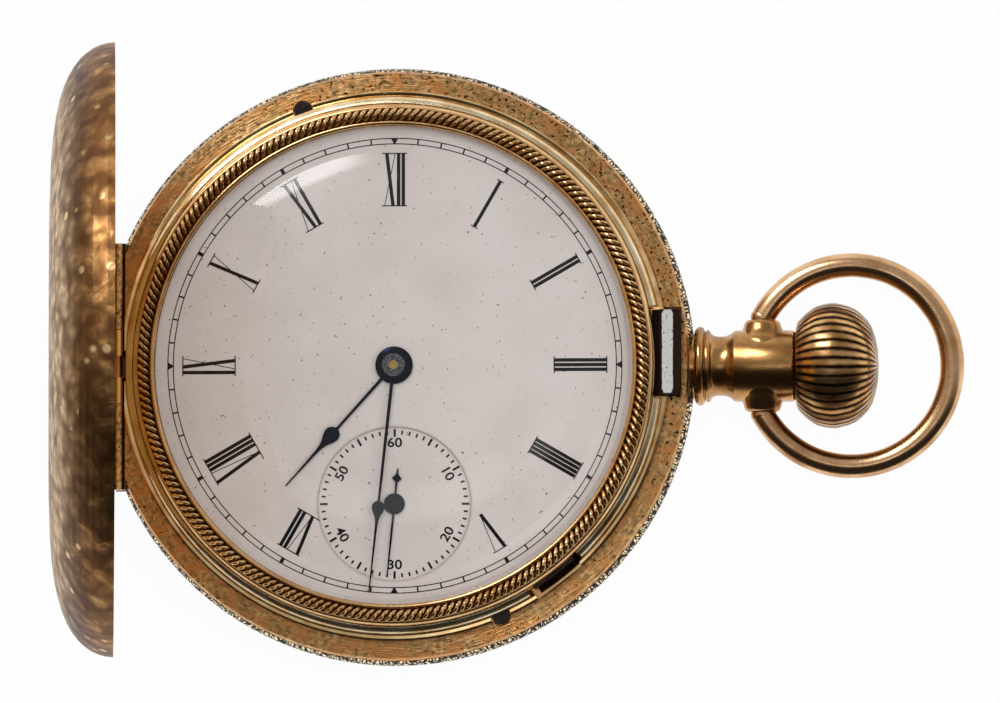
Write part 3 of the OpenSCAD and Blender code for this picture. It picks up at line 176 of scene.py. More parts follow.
def trace(name, points):
    """Draws a line of edges through points, in millimetres, and stays in edit mode."""
    deselect()
    bpy.ops.mesh.primitive_plane_add(size=MM, location=Vector(points[0]) * MM)
    piece = bpy.context.object
    piece.name = name
    bpy.ops.object.mode_set(mode="EDIT")
    bpy.ops.mesh.merge(type="CENTER")
    for start, end in zip(points, points[1:]):
        step = (Vector(end) - Vector(start)) * MM
        bpy.ops.mesh.extrude_region_move(TRANSFORM_OT_translate={"value": step})
    bpy.ops.mesh.select_all(action="SELECT")
    return piece


def close_up():
    """Merges doubles, turns the faces outwards and leaves edit mode."""
    bpy.ops.mesh.select_all(action="SELECT")
    bpy.ops.mesh.remove_doubles(threshold=DOUBLES)
    bpy.ops.mesh.normals_make_consistent(inside=False)
    bpy.ops.object.mode_set(mode="OBJECT")


def turned(name, profile, steps=240, centre=(0, 0, 0), axis="Z", angle=FULL_TURN):
    """Turns a profile of (radius, height) points about an axis through centre, in millimetres."""
    c = Vector(centre)
    along = [float(axis == letter) for letter in "XYZ"]
    out = (1, 0, 0) if axis == "Z" else (0, 0, 1)
    points = [c + Vector(out) * r + Vector(along) * h for r, h in profile]
    piece = trace(name, points)
    bpy.ops.mesh.spin(steps=steps, angle=angle, center=c * MM, axis=along)
    close_up()
    return piece


def plate(name, outline, base, top):
    """A flat plate with an outline of (x, y) points between two heights, in millimetres."""
    piece = trace(name, [(x, y, base) for x, y in list(outline) + [outline[0]]])
    bpy.ops.mesh.remove_doubles(threshold=DOUBLES)
    bpy.ops.mesh.select_all(action="SELECT")
    bpy.ops.mesh.edge_face_add()
    bpy.ops.mesh.extrude_region_move(TRANSFORM_OT_translate={"value": (0, 0, (top - base) * MM)})
    close_up()
    return piece


def drawn(name, stations, sides=8):
    """A flat-lying bar through stations of (centre, heading in degrees, width, height), in mm."""
    deselect()
    centre, heading, width, height = stations[0]
    bpy.ops.mesh.primitive_circle_add(vertices=sides, radius=0.5 * MM, fill_type="NGON")
    piece = bpy.context.object
    piece.name = name
    piece.rotation_euler = (0, math.radians(90), 0)
    piece.scale = (height, width, 1)
    settle(piece)
    piece.rotation_euler = (0, 0, math.radians(heading))
    piece.location = Vector(centre) * MM
    settle(piece)
    bpy.ops.object.mode_set(mode="EDIT")
    bpy.ops.mesh.select_all(action="SELECT")
    for (c0, h0, w0, t0), (c1, h1, w1, t1) in zip(stations, stations[1:]):
        step = (Vector(c1) - Vector(c0)) * MM
        bpy.ops.mesh.extrude_region_move(TRANSFORM_OT_translate={"value": step})
        at = Vector(c1) * MM
        if abs(w1 / w0 - t1 / t0) < 0.2:
            bpy.ops.transform.resize(value=(w1 / w0,) * 3, center_override=at)
        if h1 != h0:
            bpy.ops.transform.rotate(
                value=-math.radians(h1 - h0), orient_axis="Z", center_override=at
            )
    close_up()
    return piece


def settle(piece):
    """Puts a piece's place into its mesh."""
    pick(piece)
    bpy.ops.object.transform_apply(location=True, rotation=True, scale=True)
    return piece


def copied(piece, turn):
    """A copy with its own mesh, turned about the dial's axis in degrees."""
    pick(piece)
    bpy.ops.object.duplicate()
    twin = bpy.context.object
    twin.rotation_euler = (0, 0, math.radians(turn))
    return settle(twin)


def joined(name, pieces):
    pick(*pieces)
    if len(pieces) > 1:
        bpy.ops.object.join()
    piece = bpy.context.object
    piece.name = name
    return settle(piece)


def repeated(piece, count, centre=(0, 0, 0), axis="Z"):
    """Repeats a piece round an axis through centre, in millimetres."""
    settle(piece)
    turn = Matrix.Rotation(FULL_TURN / count, 4, axis)
    c = Vector(centre) * MM
    deselect()
    bpy.ops.object.empty_add()
    pivot = bpy.context.object
    pivot.matrix_world = Matrix.Translation(c) @ turn @ Matrix.Translation(-c)
    pick(piece)
    array = piece.modifiers.new("Repeat", "ARRAY")
    array.use_relative_offset = False
    array.use_object_offset = True
    array.offset_object = pivot
    array.count = count
    bpy.ops.object.modifier_apply(modifier=array.name)
    bpy.data.objects.remove(pivot)
    return piece


def bevelled(piece, width, segments=2, angle=30):
    pick(piece)
    edge = piece.modifiers.new("Edge", "BEVEL")
    edge.width = width * MM
    edge.segments = segments
    edge.limit_method = "ANGLE"
    edge.angle_limit = math.radians(angle)
    bpy.ops.object.modifier_apply(modifier=edge.name)
    return piece


def complete(piece, body, material, replaced=(), smooth=40):
    """Smooths a piece, finishes it and hands it to its body."""
    settle(piece)
    bpy.ops.object.shade_smooth_by_angle(angle=math.radians(smooth))
    piece.data.materials.clear()
    piece.data.materials.append(material)
    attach(piece, body)
    if replaced:
        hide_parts(*replaced)
    return piece


def clock(radius, degrees, centre=(0, 0)):
    """A point by its direction, clockwise from 12."""
    a = math.radians(90 - degrees)
    return (centre[0] + radius * math.cos(a), centre[1] + radius * math.sin(a))


def at_hour(degrees, u, v, centre=(0, 0)):
    """A point v out from the centre along a clock direction and u to its right, in millimetres."""
    a = math.radians(degrees)
    return (
        centre[0] + v * math.sin(a) + u * math.cos(a),
        centre[1] + v * math.cos(a) - u * math.sin(a),
    )


# Finishes


def linear(value):
    """sRGB hex to the linear colour that the nodes use."""
    parts = [int(value[i : i + 2], 16) / 255 for i in (1, 3, 5)]
    return [c / 12.92 if c <= 0.04045 else ((c + 0.055) / 1.055) ** 2.4 for c in parts] + [1]


def add(tree, kind, inputs=(), out=0, **settings):
    """Adds a shader node with its settings, and returns one of its outputs.

    Inputs are values, hex colours or sockets: a list in the node's own order, or by place or name.
    """
    node = tree.nodes.new("ShaderNode" + kind)
    for key, value in settings.items():
        setattr(node, key, value)
    for key, value in inputs.items() if isinstance(inputs, dict) else enumerate(inputs):
        if isinstance(value, bpy.types.NodeSocket):
            tree.links.new(value, node.inputs[key])
        elif isinstance(value, str):
            node.inputs[key].default_value = linear(value)
        else:
            node.inputs[key].default_value = value
    return node.outputs[out] if len(node.outputs) else node


def blank(name):
    """A new material with an empty tree, and the place on the object that its patterns read."""
    material = bpy.data.materials.new(name)
    material.use_nodes = True
    material.node_tree.nodes.clear()
    return material, material.node_tree, add(material.node_tree, "TexCoord", out="Object")


def wear(tree, place, size_mm, start=0.0, end=1.0, detail=4.0, stretch=(1, 1, 1)):
    """Uneven wear with patches about size_mm across, 0 at start of its range and 1 at end."""
    own = add(tree, "Mapping", {"Vector": place, "Scale": stretch})
    patches = add(tree, "TexNoise", {"Vector": own, "Scale": 1 / (size_mm * MM), "Detail": detail})
    return add(tree, "MapRange", [patches, start, end])


def round_place(tree, place):
    """Distance from the dial's axis in metres, angle in radians and height in metres."""
    x, y, z = add(tree, "SeparateXYZ", [place]).node.outputs
    radius = add(tree, "VectorMath", [add(tree, "CombineXYZ", [x, y])], 1, operation="LENGTH")
    return radius, add(tree, "Math", [y, x], operation="ARCTAN2"), z


def turning_lines(tree, radius, angle, size_mm):
    """Fine lines left by turning and polishing, long round the case and size_mm apart."""
    around = add(tree, "Math", [angle, LINE_STRETCH * MM], operation="MULTIPLY")
    rings = add(tree, "CombineXYZ", [radius, around])
    return wear(tree, rings, size_mm, 0.35, 0.65, detail=3.0)


def leaf_scrolls(tree, radius, angle, height, at_radius_mm, leaf_mm):
    """Height of hand-cut leaf scrolls, their leaves leaf_mm long: 1 on the metal, 0 in the cuts."""
    around = add(tree, "Math", [angle, at_radius_mm * MM], operation="MULTIPLY")
    across = add(tree, "Math", [radius, height])
    flat = add(tree, "CombineXYZ", [around, across])
    leaf = leaf_mm * MM
    drift = add(tree, "TexNoise", {"Vector": flat, "Scale": 0.55 / leaf, "Detail": 1.0}, 1)
    curl = add(tree, "VectorMath", [drift, (1.6 * leaf, 1.6 * leaf, 0)], operation="MULTIPLY")
    curled = add(tree, "VectorMath", [flat, curl])
    leaves = {"Vector": curled, "Scale": 1 / leaf, "Randomness": 0.85}
    leaves = add(tree, "TexVoronoi", leaves, feature="DISTANCE_TO_EDGE")
    veins = {"Vector": curled, "Scale": 0.6 / leaf, "Distortion": 6.0, "Detail": 1.0}
    veins = add(tree, "TexWave", veins, 1)
    outline = add(tree, "MapRange", [leaves, 0.03, 0.14])
    grooves = add(tree, "MapRange", [veins, 0.12, 0.4, 0.3, 1.0])
    return add(tree, "Math", [outline, grooves], operation="MULTIPLY")


def hinge_highlight(tree, x, axis_mm):
    """Painted highlight along the middle line of the hinge tube, 1 on its crest, a little inward of
    its axis.
    """
    off = add(tree, "Math", [x, (axis_mm + 0.12) * MM], operation="SUBTRACT")
    off = add(tree, "Math", [off], operation="ABSOLUTE")
    return add(tree, "MapRange", [off, 0.34 * MM, 0.14 * MM])


def metal(material, tree, colour, rough, relief, depth_mm, strength, metallic=1.0, specular=0.5):
    """Ends a metal's tree with its colour, its roughness and a relief depth_mm deep."""
    bump = add(tree, "Bump", {"Height": relief, "Distance": depth_mm * MM, "Strength": strength})
    inputs = {"Base Color": colour, "Metallic": metallic, "Roughness": rough, "Normal": bump}
    inputs["Specular IOR Level"] = specular
    add(tree, "OutputMaterial", [add(tree, "BsdfPrincipled", inputs)])
    return material


def polished_gold(name, first="#E6BE78", last="#A9783A"):
    """Solid gold buffed with rouge: clear reflections, soft tarnish, hairline scratches."""
    material, tree, place = blank(name)
    tarnish = wear(tree, place, 4.0, 0.38, 0.72)
    hairlines = wear(tree, place, 0.14, detail=2.0, stretch=(1, 0.1, 1))
    colour = add(tree, "Mix", {0: tarnish, 6: first, 7: last}, 2, data_type="RGBA")
    rough = add(tree, "MapRange", [tarnish, 0, 1, 0.12, 0.3])
    return metal(material, tree, colour, rough, hairlines, 0.004, 0.35)


def satin_gold(name, first, last):
    """Gold matt from handling: fine grain of about 0.15 mm, duller in patches."""
    material, tree, place = blank(name)
    patches = wear(tree, place, 2.5, 0.35, 0.7)
    grain = wear(tree, place, 0.15, detail=3.0)
    colour = add(tree, "Mix", {0: patches, 6: first, 7: last}, 2, data_type="RGBA")
    rough = add(tree, "MapRange", [patches, 0, 1, 0.16, 0.3])
    return metal(material, tree, colour, rough, grain, 0.01, 0.5)


def bezel_gold():
    """Red gold of the bezel: burnished inner bead, old polish and painted shade under the rope
    edge.
    """
    material, tree, place = blank("Burnished red gold")
    radius, _, _ = round_place(tree, place)
    past_bead = add(tree, "MapRange", [radius, 21.32 * MM, 21.38 * MM])
    before_lip = add(tree, "MapRange", [radius, 22.34 * MM, 22.3 * MM])
    bed = add(tree, "Math", [past_bead, before_lip], operation="MULTIPLY")
    patches = wear(tree, place, 1.6, 0.35, 0.75)
    bead = add(tree, "Mix", {0: patches, 6: "#F0C890", 7: "#D09A62"}, 2, data_type="RGBA")
    # Painted shade: the bed under the rope edge is coloured in two mottled dark browns
    shade_mottle = wear(tree, place, 0.5)
    shade_under_rope = add(tree, "Mix", {0: shade_mottle, 6: "#8E6230", 7: "#56371A"}, 2, data_type="RGBA")
    colour = add(tree, "Mix", {0: bed, 6: bead, 7: shade_under_rope}, 2, data_type="RGBA")
    rough = add(tree, "MapRange", [bed, 0, 1, 0.22, 0.4])
    grain = wear(tree, place, 0.2, detail=2.0)
    return metal(material, tree, colour, rough, grain, 0.004, 0.4)


def moulding_gold():
    """Case moulding worn smooth by cleaning: pale gold with fine hairlines along its turn."""
    material, tree, place = blank("Worn smooth gold")
    radius, angle, _ = round_place(tree, place)
    lines = turning_lines(tree, radius, angle, 0.12)
    patches = wear(tree, place, 2.5, 0.35, 0.7)
    colour = add(tree, "Mix", {0: patches, 6: "#FAE6C0", 7: "#D8AE74"}, 2, data_type="RGBA")
    rough = add(tree, "MapRange", [lines, 0, 1, 0.2, 0.3])
    return metal(material, tree, colour, rough, lines, 0.003, 1.0)


def rope_gold():
    """Rope strands: bright on their tops, brown low down between them as painted shade."""
    material, tree, place = blank("Rope gold with painted shade")
    height = add(tree, "SeparateXYZ", [place], 2)
    # Painted shade: below a mottled height the strands turn brown, low down between them
    shade_mottle = wear(tree, place, 0.4, 0.3, 0.7)
    sunk = add(tree, "Math", [shade_mottle, -0.08 * MM], operation="MULTIPLY")
    uneven = add(tree, "Math", [height, sunk])
    ends = [(BEZEL_TOP - depth) * MM for depth in (0.42, 0.16)]
    raised = add(tree, "MapRange", [uneven] + ends)
    patches = wear(tree, place, 3.0, 0.35, 0.7)
    bright = add(tree, "Mix", {0: patches, 6: "#F4D09A", 7: "#D0A064"}, 2, data_type="RGBA")
    colour = add(tree, "Mix", {0: raised, 6: "#A87840", 7: bright}, 2, data_type="RGBA")
    rough = add(tree, "MapRange", [raised, 0, 1, 0.45, 0.16])
    grain = wear(tree, place, 0.15, detail=2.0)
    return metal(material, tree, colour, rough, grain, 0.006, 0.4)


def case_gold():
    """Case middle in one piece of gold: polished ring, worn flat rim with pits, engraved edge."""
    material, tree, place = blank("Case gold")
    radius, angle, height = round_place(tree, place)
    x, y, _ = add(tree, "SeparateXYZ", [place]).node.outputs
    # Where each finish is: the flat rim, the edge outside it, the hinge tube and the lever's slot
    past_ring = add(tree, "MapRange", [radius, RIM_START * MM, (RIM_START + 0.06) * MM])
    before_edge = add(tree, "MapRange", [radius, (EDGE_RADIUS + 0.1) * MM, EDGE_RADIUS * MM])
    on_rim = add(tree, "Math", [past_ring, before_edge], operation="MULTIPLY")
    on_edge = add(tree, "MapRange", [radius, EDGE_RADIUS * MM, (EDGE_RADIUS + 0.06) * MM])
    off_hinge = add(tree, "MapRange", [x, (HINGE_X + 0.6) * MM, (HINGE_X + 0.7) * MM])
    on_edge = add(tree, "Math", [on_edge, off_hinge], operation="MULTIPLY")
    knuckle = add(tree, "MapRange", [x, (HINGE_X + 0.66) * MM, (HINGE_X + 0.6) * MM])
    from_slot = add(tree, "Math", [angle, math.radians(SLOT_ANGLE)])
    from_slot = add(tree, "Math", [from_slot], operation="ABSOLUTE")
    in_slot = add(tree, "MapRange", [from_slot, math.radians(5.9), math.radians(5.5)])
    inward = add(tree, "MapRange", [radius, 23.66 * MM, 23.6 * MM])
    in_slot = add(tree, "Math", [in_slot, inward], operation="MULTIPLY")
    # Polished ring, with painted shade making its recess dark round the lever
    patches = wear(tree, place, 2.2, 0.35, 0.7, detail=6.0)
    polished = add(tree, "Mix", {0: patches, 6: "#FFDEA4", 7: "#D89E5C"}, 2, data_type="RGBA")
    shade_mottle = wear(tree, place, 0.3, 0.4, 0.6)
    recess = add(tree, "Mix", {0: shade_mottle, 6: "#3A2412", 7: "#1C1008"}, 2, data_type="RGBA")
    polished = add(tree, "Mix", {0: in_slot, 6: polished, 7: recess}, 2, data_type="RGBA")
    # Worn rim: patches, brown and red stains, bright scratches, pits with more of them upper right
    corner = add(tree, "Math", [x, y])
    corner = add(tree, "MapRange", [corner, -10 * MM, 30 * MM, 0.0, 0.07])
    pits = wear(tree, place, 0.32, detail=6.0)
    pits = add(tree, "Math", [pits, corner], operation="SUBTRACT")
    pits = add(tree, "MapRange", [pits, 0.36, 0.28])
    lines = turning_lines(tree, radius, angle, 0.1)
    faint = add(tree, "Math", [lines, 0.25], operation="MULTIPLY")
    worn = add(tree, "Mix", {0: patches, 6: "#F2BE80", 7: "#C08A4E"}, 2, data_type="RGBA")
    brown = wear(tree, place, 0.45, 0.38, 0.62, detail=8.0)
    red = wear(tree, place, 1.3, 0.45, 0.6, detail=8.0)
    stains = ((brown, "#8E6C3A"), (red, "#CC8848"), (faint, "#FFD6A0"), (pits, "#2E1C0C"))
    for layer, stain in stains:
        worn = add(tree, "Mix", {0: layer, 6: worn, 7: stain}, 2, data_type="RGBA")
    # Engraved edge: pale raised leaves, black dirt in the cuts, which isn't metal
    cuts = leaf_scrolls(tree, radius, angle, height, 26.0, 0.6)
    raised = add(tree, "MapRange", [cuts, 0.45, 0.75])
    engraved = add(tree, "Mix", {0: raised, 6: "#160E06", 7: "#FCE0AE"}, 2, data_type="RGBA")
    in_cuts = add(tree, "Math", [1.0, raised], operation="SUBTRACT")
    in_cuts = add(tree, "Math", [on_edge, in_cuts], operation="MULTIPLY")
    # Hinge tube: painted highlight along its crest, painted shade in dark brown down its sides
    crest = hinge_highlight(tree, x, HINGE_X)
    crest_breakup = wear(tree, place, 0.4, 0.25, 0.55)
    crest = add(tree, "Math", [crest, crest_breakup], operation="MULTIPLY")
    tube = add(tree, "Mix", {0: crest, 6: "#3C2210", 7: "#FCCB88"}, 2, data_type="RGBA")
    tube = add(tree, "Mix", {0: pits, 6: tube, 7: "#160D06"}, 2, data_type="RGBA")
    # All of them together
    colour = add(tree, "Mix", {0: on_rim, 6: polished, 7: worn}, 2, data_type="RGBA")
    colour = add(tree, "Mix", {0: knuckle, 6: colour, 7: tube}, 2, data_type="RGBA")
    colour = add(tree, "Mix", {0: on_edge, 6: colour, 7: engraved}, 2, data_type="RGBA")
    metallic = add(tree, "Math", [1.0, in_cuts], operation="SUBTRACT")
    rough = add(tree, "MapRange", [on_rim, 0, 1, 0.12, 0.3])
    dull = add(tree, "Math", [in_cuts, in_slot], operation="MAXIMUM")
    dull = add(tree, "Math", [dull, 0.4], operation="MULTIPLY")
    rough = add(tree, "Math", [rough, dull])
    carved = add(tree, "Math", [cuts, on_edge], operation="MULTIPLY")
    carved = add(tree, "Math", [carved, 3.0], operation="MULTIPLY")
    deep_pits = add(tree, "Math", [pits, 2.0], operation="MULTIPLY")
    scratched = add(tree, "Math", [lines, deep_pits], operation="SUBTRACT")
    rim_share = add(tree, "MapRange", [on_rim, 0, 1, 0.02, 0.6])
    scratched = add(tree, "Math", [scratched, rim_share], operation="MULTIPLY")
    relief = add(tree, "Math", [carved, scratched])
    return metal(material, tree, colour, rough, relief, 0.025, 1.0, metallic, 0.08)


def cover_gold(name, open_degrees=0.0, dome=None):
    """Cover engraved by hand and worn by the pocket: soft leaf scrolls, dirt in the cuts.

    A cover that stands open_degrees open is patterned as if shut. The dome, for a cover whose
    inside shows, is its base height, rise, reach and the height where the painted reflection
    starts, all in mm.
    """
    material, tree, place = blank(name)
    shut = Matrix.Rotation(math.radians(open_degrees), 4, "Y")
    pivot = Vector((HINGE_X, 0, FRONT_AXIS)) * MM
    turn = (0, math.radians(open_degrees), 0)
    own = add(tree, "Mapping", [place, pivot - shut @ pivot, turn])
    radius, _, height = round_place(tree, own)
    # Leaf scrolls with veins, and a plain shield in the middle
    drift = add(tree, "TexNoise", {"Vector": own, "Scale": 0.5 / MM, "Detail": 1.0}, 1)
    curl = add(tree, "VectorMath", [drift, (1.6 * MM,) * 3], operation="MULTIPLY")
    curled = add(tree, "VectorMath", [own, curl])
    leaves = {"Vector": curled, "Scale": 0.75 / MM, "Smoothness": 0.6}
    leaves = add(tree, "TexVoronoi", leaves, feature="SMOOTH_F1")
    leaf = add(tree, "MapRange", [leaves, 0.75, 0.15])
    veins = wear(tree, curled, 0.5, 0.35, 0.65, detail=2.0)
    veins = add(tree, "MapRange", [veins, 0, 1, 0.55, 1.0])
    cuts = add(tree, "Math", [leaf, veins], operation="MULTIPLY")
    shield = add(tree, "MapRange", [radius, SHIELD_RADIUS * MM, (SHIELD_RADIUS - 0.1) * MM])
    cuts = add(tree, "Math", [cuts, shield], operation="MAXIMUM")
    patches = wear(tree, place, 2.2, 0.38, 0.62)
    worn = add(tree, "Mix", {0: patches, 6: "#DCA668", 7: "#8C5E34"}, 2, data_type="RGBA")
    colour = add(tree, "Mix", {0: cuts, 6: "#6A472A", 7: worn}, 2, data_type="RGBA")
    rough = add(tree, "MapRange", [cuts, 0, 1, 0.5, 0.4])
    # Painted glints: sparse bright spots in groups on the engraved outside
    painted_glints = add(tree, "TexVoronoi", {"Vector": own, "Scale": 0.42 / MM})
    painted_glints = add(tree, "MapRange", [painted_glints, 0.19, 0.12, 0.0, 0.8])
    groups = wear(tree, place, 4.0, 0.45, 0.55)
    painted_glints = add(tree, "Math", [painted_glints, groups], operation="MULTIPLY")
    if dome:
        base, rise, reach, pale_reflection_from = dome
        tall = add(tree, "Math", [height, base * MM], operation="SUBTRACT")
        tall = add(tree, "Math", [tall, rise * MM], operation="DIVIDE")
        tall = add(tree, "Math", [tall, 2.0], operation="POWER")
        wide = add(tree, "Math", [radius, reach * MM], operation="DIVIDE")
        wide = add(tree, "Math", [wide, 6.0], operation="POWER")
        inside = add(tree, "MapRange", [add(tree, "Math", [tall, wide]), 0.95, 0.94])
        # Darker shoulder, and a pale top that is a painted reflection of the white surroundings
        ends = [(pale_reflection_from + step) * MM for step in (-2.2, -0.9)]
        shoulder = add(tree, "MapRange", [height] + ends + [0.0, 0.6])
        colour = add(tree, "Mix", {0: shoulder, 6: colour, 7: "#4A3018"}, 2, data_type="RGBA")
        ends = [(pale_reflection_from + step) * MM for step in (-0.6, 0.9)]
        top = add(tree, "MapRange", [height] + ends)
        patches = wear(tree, place, 3.0, 0.25, 0.7, detail=5.0)
        pale = add(tree, "Mix", {0: patches, 6: "#D8B078", 7: "#FFE6BC"}, 2, data_type="RGBA")
        pale = add(tree, "Mix", {0: cuts, 6: "#84603A", 7: pale}, 2, data_type="RGBA")
        colour = add(tree, "Mix", {0: top, 6: colour, 7: pale}, 2, data_type="RGBA")
        # Polished inside
        colour = add(tree, "Mix", {0: inside, 6: colour, 7: "#E8B870"}, 2, data_type="RGBA")
        rough = add(tree, "Mix", {0: inside, 2: rough, 3: 0.14}, data_type="FLOAT")
        cuts = add(tree, "Math", [cuts, inside], operation="MAXIMUM")
        outside = add(tree, "Math", [1.0, inside], operation="SUBTRACT")
        painted_glints = add(tree, "Math", [painted_glints, outside], operation="MULTIPLY")
        # Hinge tube: painted highlight along its crest, painted shade in brown down its sides
        off_pin = add(tree, "VectorMath", [place, pivot], operation="SUBTRACT")
        off_pin = add(tree, "VectorMath", [off_pin, (1, 0, 1)], operation="MULTIPLY")
        tube = add(tree, "VectorMath", [off_pin], 1, operation="LENGTH")
        tube = add(tree, "MapRange", [tube, 0.66 * MM, 0.62 * MM])
        crest = hinge_highlight(tree, add(tree, "SeparateXYZ", [off_pin]), 0)
        brown = add(tree, "Mix", {0: crest, 6: "#4E2E16", 7: "#FCCB88"}, 2, data_type="RGBA")
        colour = add(tree, "Mix", {0: tube, 6: colour, 7: brown}, 2, data_type="RGBA")
    colour = add(tree, "Mix", {0: painted_glints, 6: colour, 7: "#FFDCA4"}, 2, data_type="RGBA")
    return metal(material, tree, colour, rough, cuts, 0.045, 1.0)


def ribbed_gold():
    """Crown of worn gold: bright rib crests, dark brown between the ribs."""
    material, tree, place = blank("Antique gold")
    _, y, z = add(tree, "SeparateXYZ", [place]).node.outputs
    above = add(tree, "Math", [z, STEM_HEIGHT * MM], operation="SUBTRACT")
    angle = add(tree, "Math", [above, y], operation="ARCTAN2")
    wave = add(tree, "Math", [angle, float(sizes().crown_ribs)], operation="MULTIPLY")
    wave = add(tree, "Math", [wave], operation="COSINE")
    uneven = wear(tree, place, 0.8, detail=5.0)
    uneven = add(tree, "Math", [uneven, 1.4], operation="MULTIPLY")
    crest = add(tree, "MapRange", [add(tree, "Math", [wave, uneven]), 1.5, -0.2])
    patches = wear(tree, place, 2.0, 0.35, 0.7)
    bright = add(tree, "Mix", {0: patches, 6: "#F2C084", 7: "#A87440"}, 2, data_type="RGBA")
    colour = add(tree, "Mix", {0: crest, 6: "#24140A", 7: bright}, 2, data_type="RGBA")
    rough = add(tree, "MapRange", [crest, 0, 1, 0.5, 0.24])
    dents = wear(tree, place, 0.6, detail=5.0)
    return metal(material, tree, colour, rough, dents, 0.012, 0.6)


def seconds_distance(tree, place):
    """Distance from the seconds hand's axis in metres."""
    off = add(tree, "VectorMath", [place, (0, SECONDS_Y * MM, 0)], operation="SUBTRACT")
    off = add(tree, "VectorMath", [off, (1, 1, 0)], operation="MULTIPLY")
    return add(tree, "VectorMath", [off], 1, operation="LENGTH")


def fired_enamel():
    """Glass enamel on copper: glossy white, pink cast, kiln specks, painted shade at the sunk
    dial's lip.
    """
    material, tree, place = blank("Fired enamel")
    away = seconds_distance(tree, place)
    past = add(tree, "MapRange", [away, 6.6 * MM, 6.66 * MM])
    before = add(tree, "MapRange", [away, 6.95 * MM, 6.7 * MM])
    lip_shade = add(tree, "Math", [past, before], operation="MULTIPLY")
    lip_shade = add(tree, "Math", [lip_shade, 0.5], operation="MULTIPLY")
    cloud = wear(tree, place, 6.0, 0.35, 0.7)
    specks = wear(tree, place, 0.3, 0.3, 0.27, detail=2.0)
    colour = {0: cloud, 6: colours().enamel, 7: "#D5CBC9"}
    colour = add(tree, "Mix", colour, 2, data_type="RGBA")
    # Painted shade: a warm grey-brown ring at the sunk dial's lip
    colour = add(tree, "Mix", {0: lip_shade, 6: colour, 7: "#A8967E"}, 2, data_type="RGBA")
    colour = add(tree, "Mix", {0: specks, 6: colour, 7: "#8A7A70"}, 2, data_type="RGBA")
    ripple = wear(tree, place, 1.5, detail=2.0)
    relief = add(tree, "Bump", {"Height": ripple, "Distance": 0.004 * MM, "Strength": 0.4})
    glass = {"Base Color": colour, "Roughness": 0.14, "IOR": 1.5, "Normal": relief}
    add(tree, "OutputMaterial", [add(tree, "BsdfPrincipled", glass)])
    return material


def fired_print():
    """Black ceramic ink fired into the enamel: satin, a little worn."""
    material, tree, place = blank("Fired print")
    worn = wear(tree, place, 0.25, 0.28, 0.22, detail=3.0)
    colour = {0: worn, 6: colours().ink, 7: "#4A464E"}
    colour = add(tree, "Mix", colour, 2, data_type="RGBA")
    ink = {"Base Color": colour, "Roughness": 0.4, "Specular IOR Level": 0.2}
    add(tree, "OutputMaterial", [add(tree, "BsdfPrincipled", ink)])
    return material


def blued_steel():
    """Polished steel heated to blue: deep blue-black with a clear sheen."""
    material, tree, place = blank("Blued steel")
    colour = {0: wear(tree, place, 1.2), 6: colours().blued, 7: "#0A101E"}
    colour = add(tree, "Mix", colour, 2, data_type="RGBA")
    steel = {"Base Color": colour, "Metallic": 1.0, "Roughness": 0.22}
    add(tree, "OutputMaterial", [add(tree, "BsdfPrincipled", steel)])
    return material


def polished_steel(name, bright="#C9C9CE", specks="#4A4A50", roughness=0.25):
    """Steel of springs and arbors: cool grey with dark specks of old oil."""
    material, tree, place = blank(name)
    oil = wear(tree, place, 0.22, 0.42, 0.34)
    colour = add(tree, "Mix", {0: oil, 6: bright, 7: specks}, 2, data_type="RGBA")
    grain = wear(tree, place, 0.1, detail=2.0)
    return metal(material, tree, colour, roughness, grain, 0.004, 0.4)


def catch_steel():
    """Lock spring of white steel: bright where the lid's lip rubs the catch, painted shade of the
    cavities beside it.
    """
    material, tree, place = blank("Rubbed catch steel")
    x, y, _ = add(tree, "SeparateXYZ", [place]).node.outputs
    uneven = wear(tree, place, 0.6, detail=3.0)
    uneven = add(tree, "Math", [uneven, 0.16 * MM], operation="MULTIPLY")
    along = add(tree, "Math", [y, CATCH_Y * MM], operation="SUBTRACT")
    along = add(tree, "Math", [along], operation="ABSOLUTE")
    taper = add(tree, "MapRange", [along, 3.3 * MM, 3.65 * MM, 0.0, 0.16 * MM])
    across = add(tree, "Math", [x, CATCH_X * MM], operation="SUBTRACT")
    across = add(tree, "Math", [across], operation="ABSOLUTE")
    across = add(tree, "Math", [across, taper])
    across = add(tree, "Math", [across, uneven])
    strip = add(tree, "MapRange", [across, 0.58 * MM, 0.52 * MM])
    ends = add(tree, "MapRange", [along, 3.66 * MM, 3.6 * MM])
    strip = add(tree, "Math", [strip, ends], operation="MULTIPLY")
    specks = wear(tree, place, 0.22, 0.36, 0.3, detail=2.0)
    white = add(tree, "Mix", {0: specks, 6: "#F6F4F0", 7: "#3A3434"}, 2, data_type="RGBA")
    # Painted shade: dark brown in the cavities either side of the bright strip
    colour = add(tree, "Mix", {0: strip, 6: "#33261C", 7: white}, 2, data_type="RGBA")
    rough = add(tree, "MapRange", [strip, 0, 1, 0.5, 0.3])
    grain = wear(tree, place, 0.15, detail=2.0)
    return metal(material, tree, colour, rough, grain, 0.006, 0.4)


def gilt_brass(name, grain_mm=0.12, roughness=0.34, arbor_mm=None):
    """Brass frosted and gilt, with a fine sparkle; dark steel round the seconds hand's arbor."""
    material, tree, place = blank(name)
    patches = wear(tree, place, 3.0, 0.3, 0.7)
    colour = {0: patches, 6: colours().brass, 7: "#B99455"}
    colour = add(tree, "Mix", colour, 2, data_type="RGBA")
    if arbor_mm:
        away = seconds_distance(tree, place)
        arbor = add(tree, "MapRange", [away, arbor_mm * MM, (arbor_mm - 0.04) * MM])
        colour = add(tree, "Mix", {0: arbor, 6: colour, 7: "#1A1C24"}, 2, data_type="RGBA")
    grain = wear(tree, place, grain_mm, detail=2.0)
    return metal(material, tree, colour, roughness, grain, 0.006, 0.6)


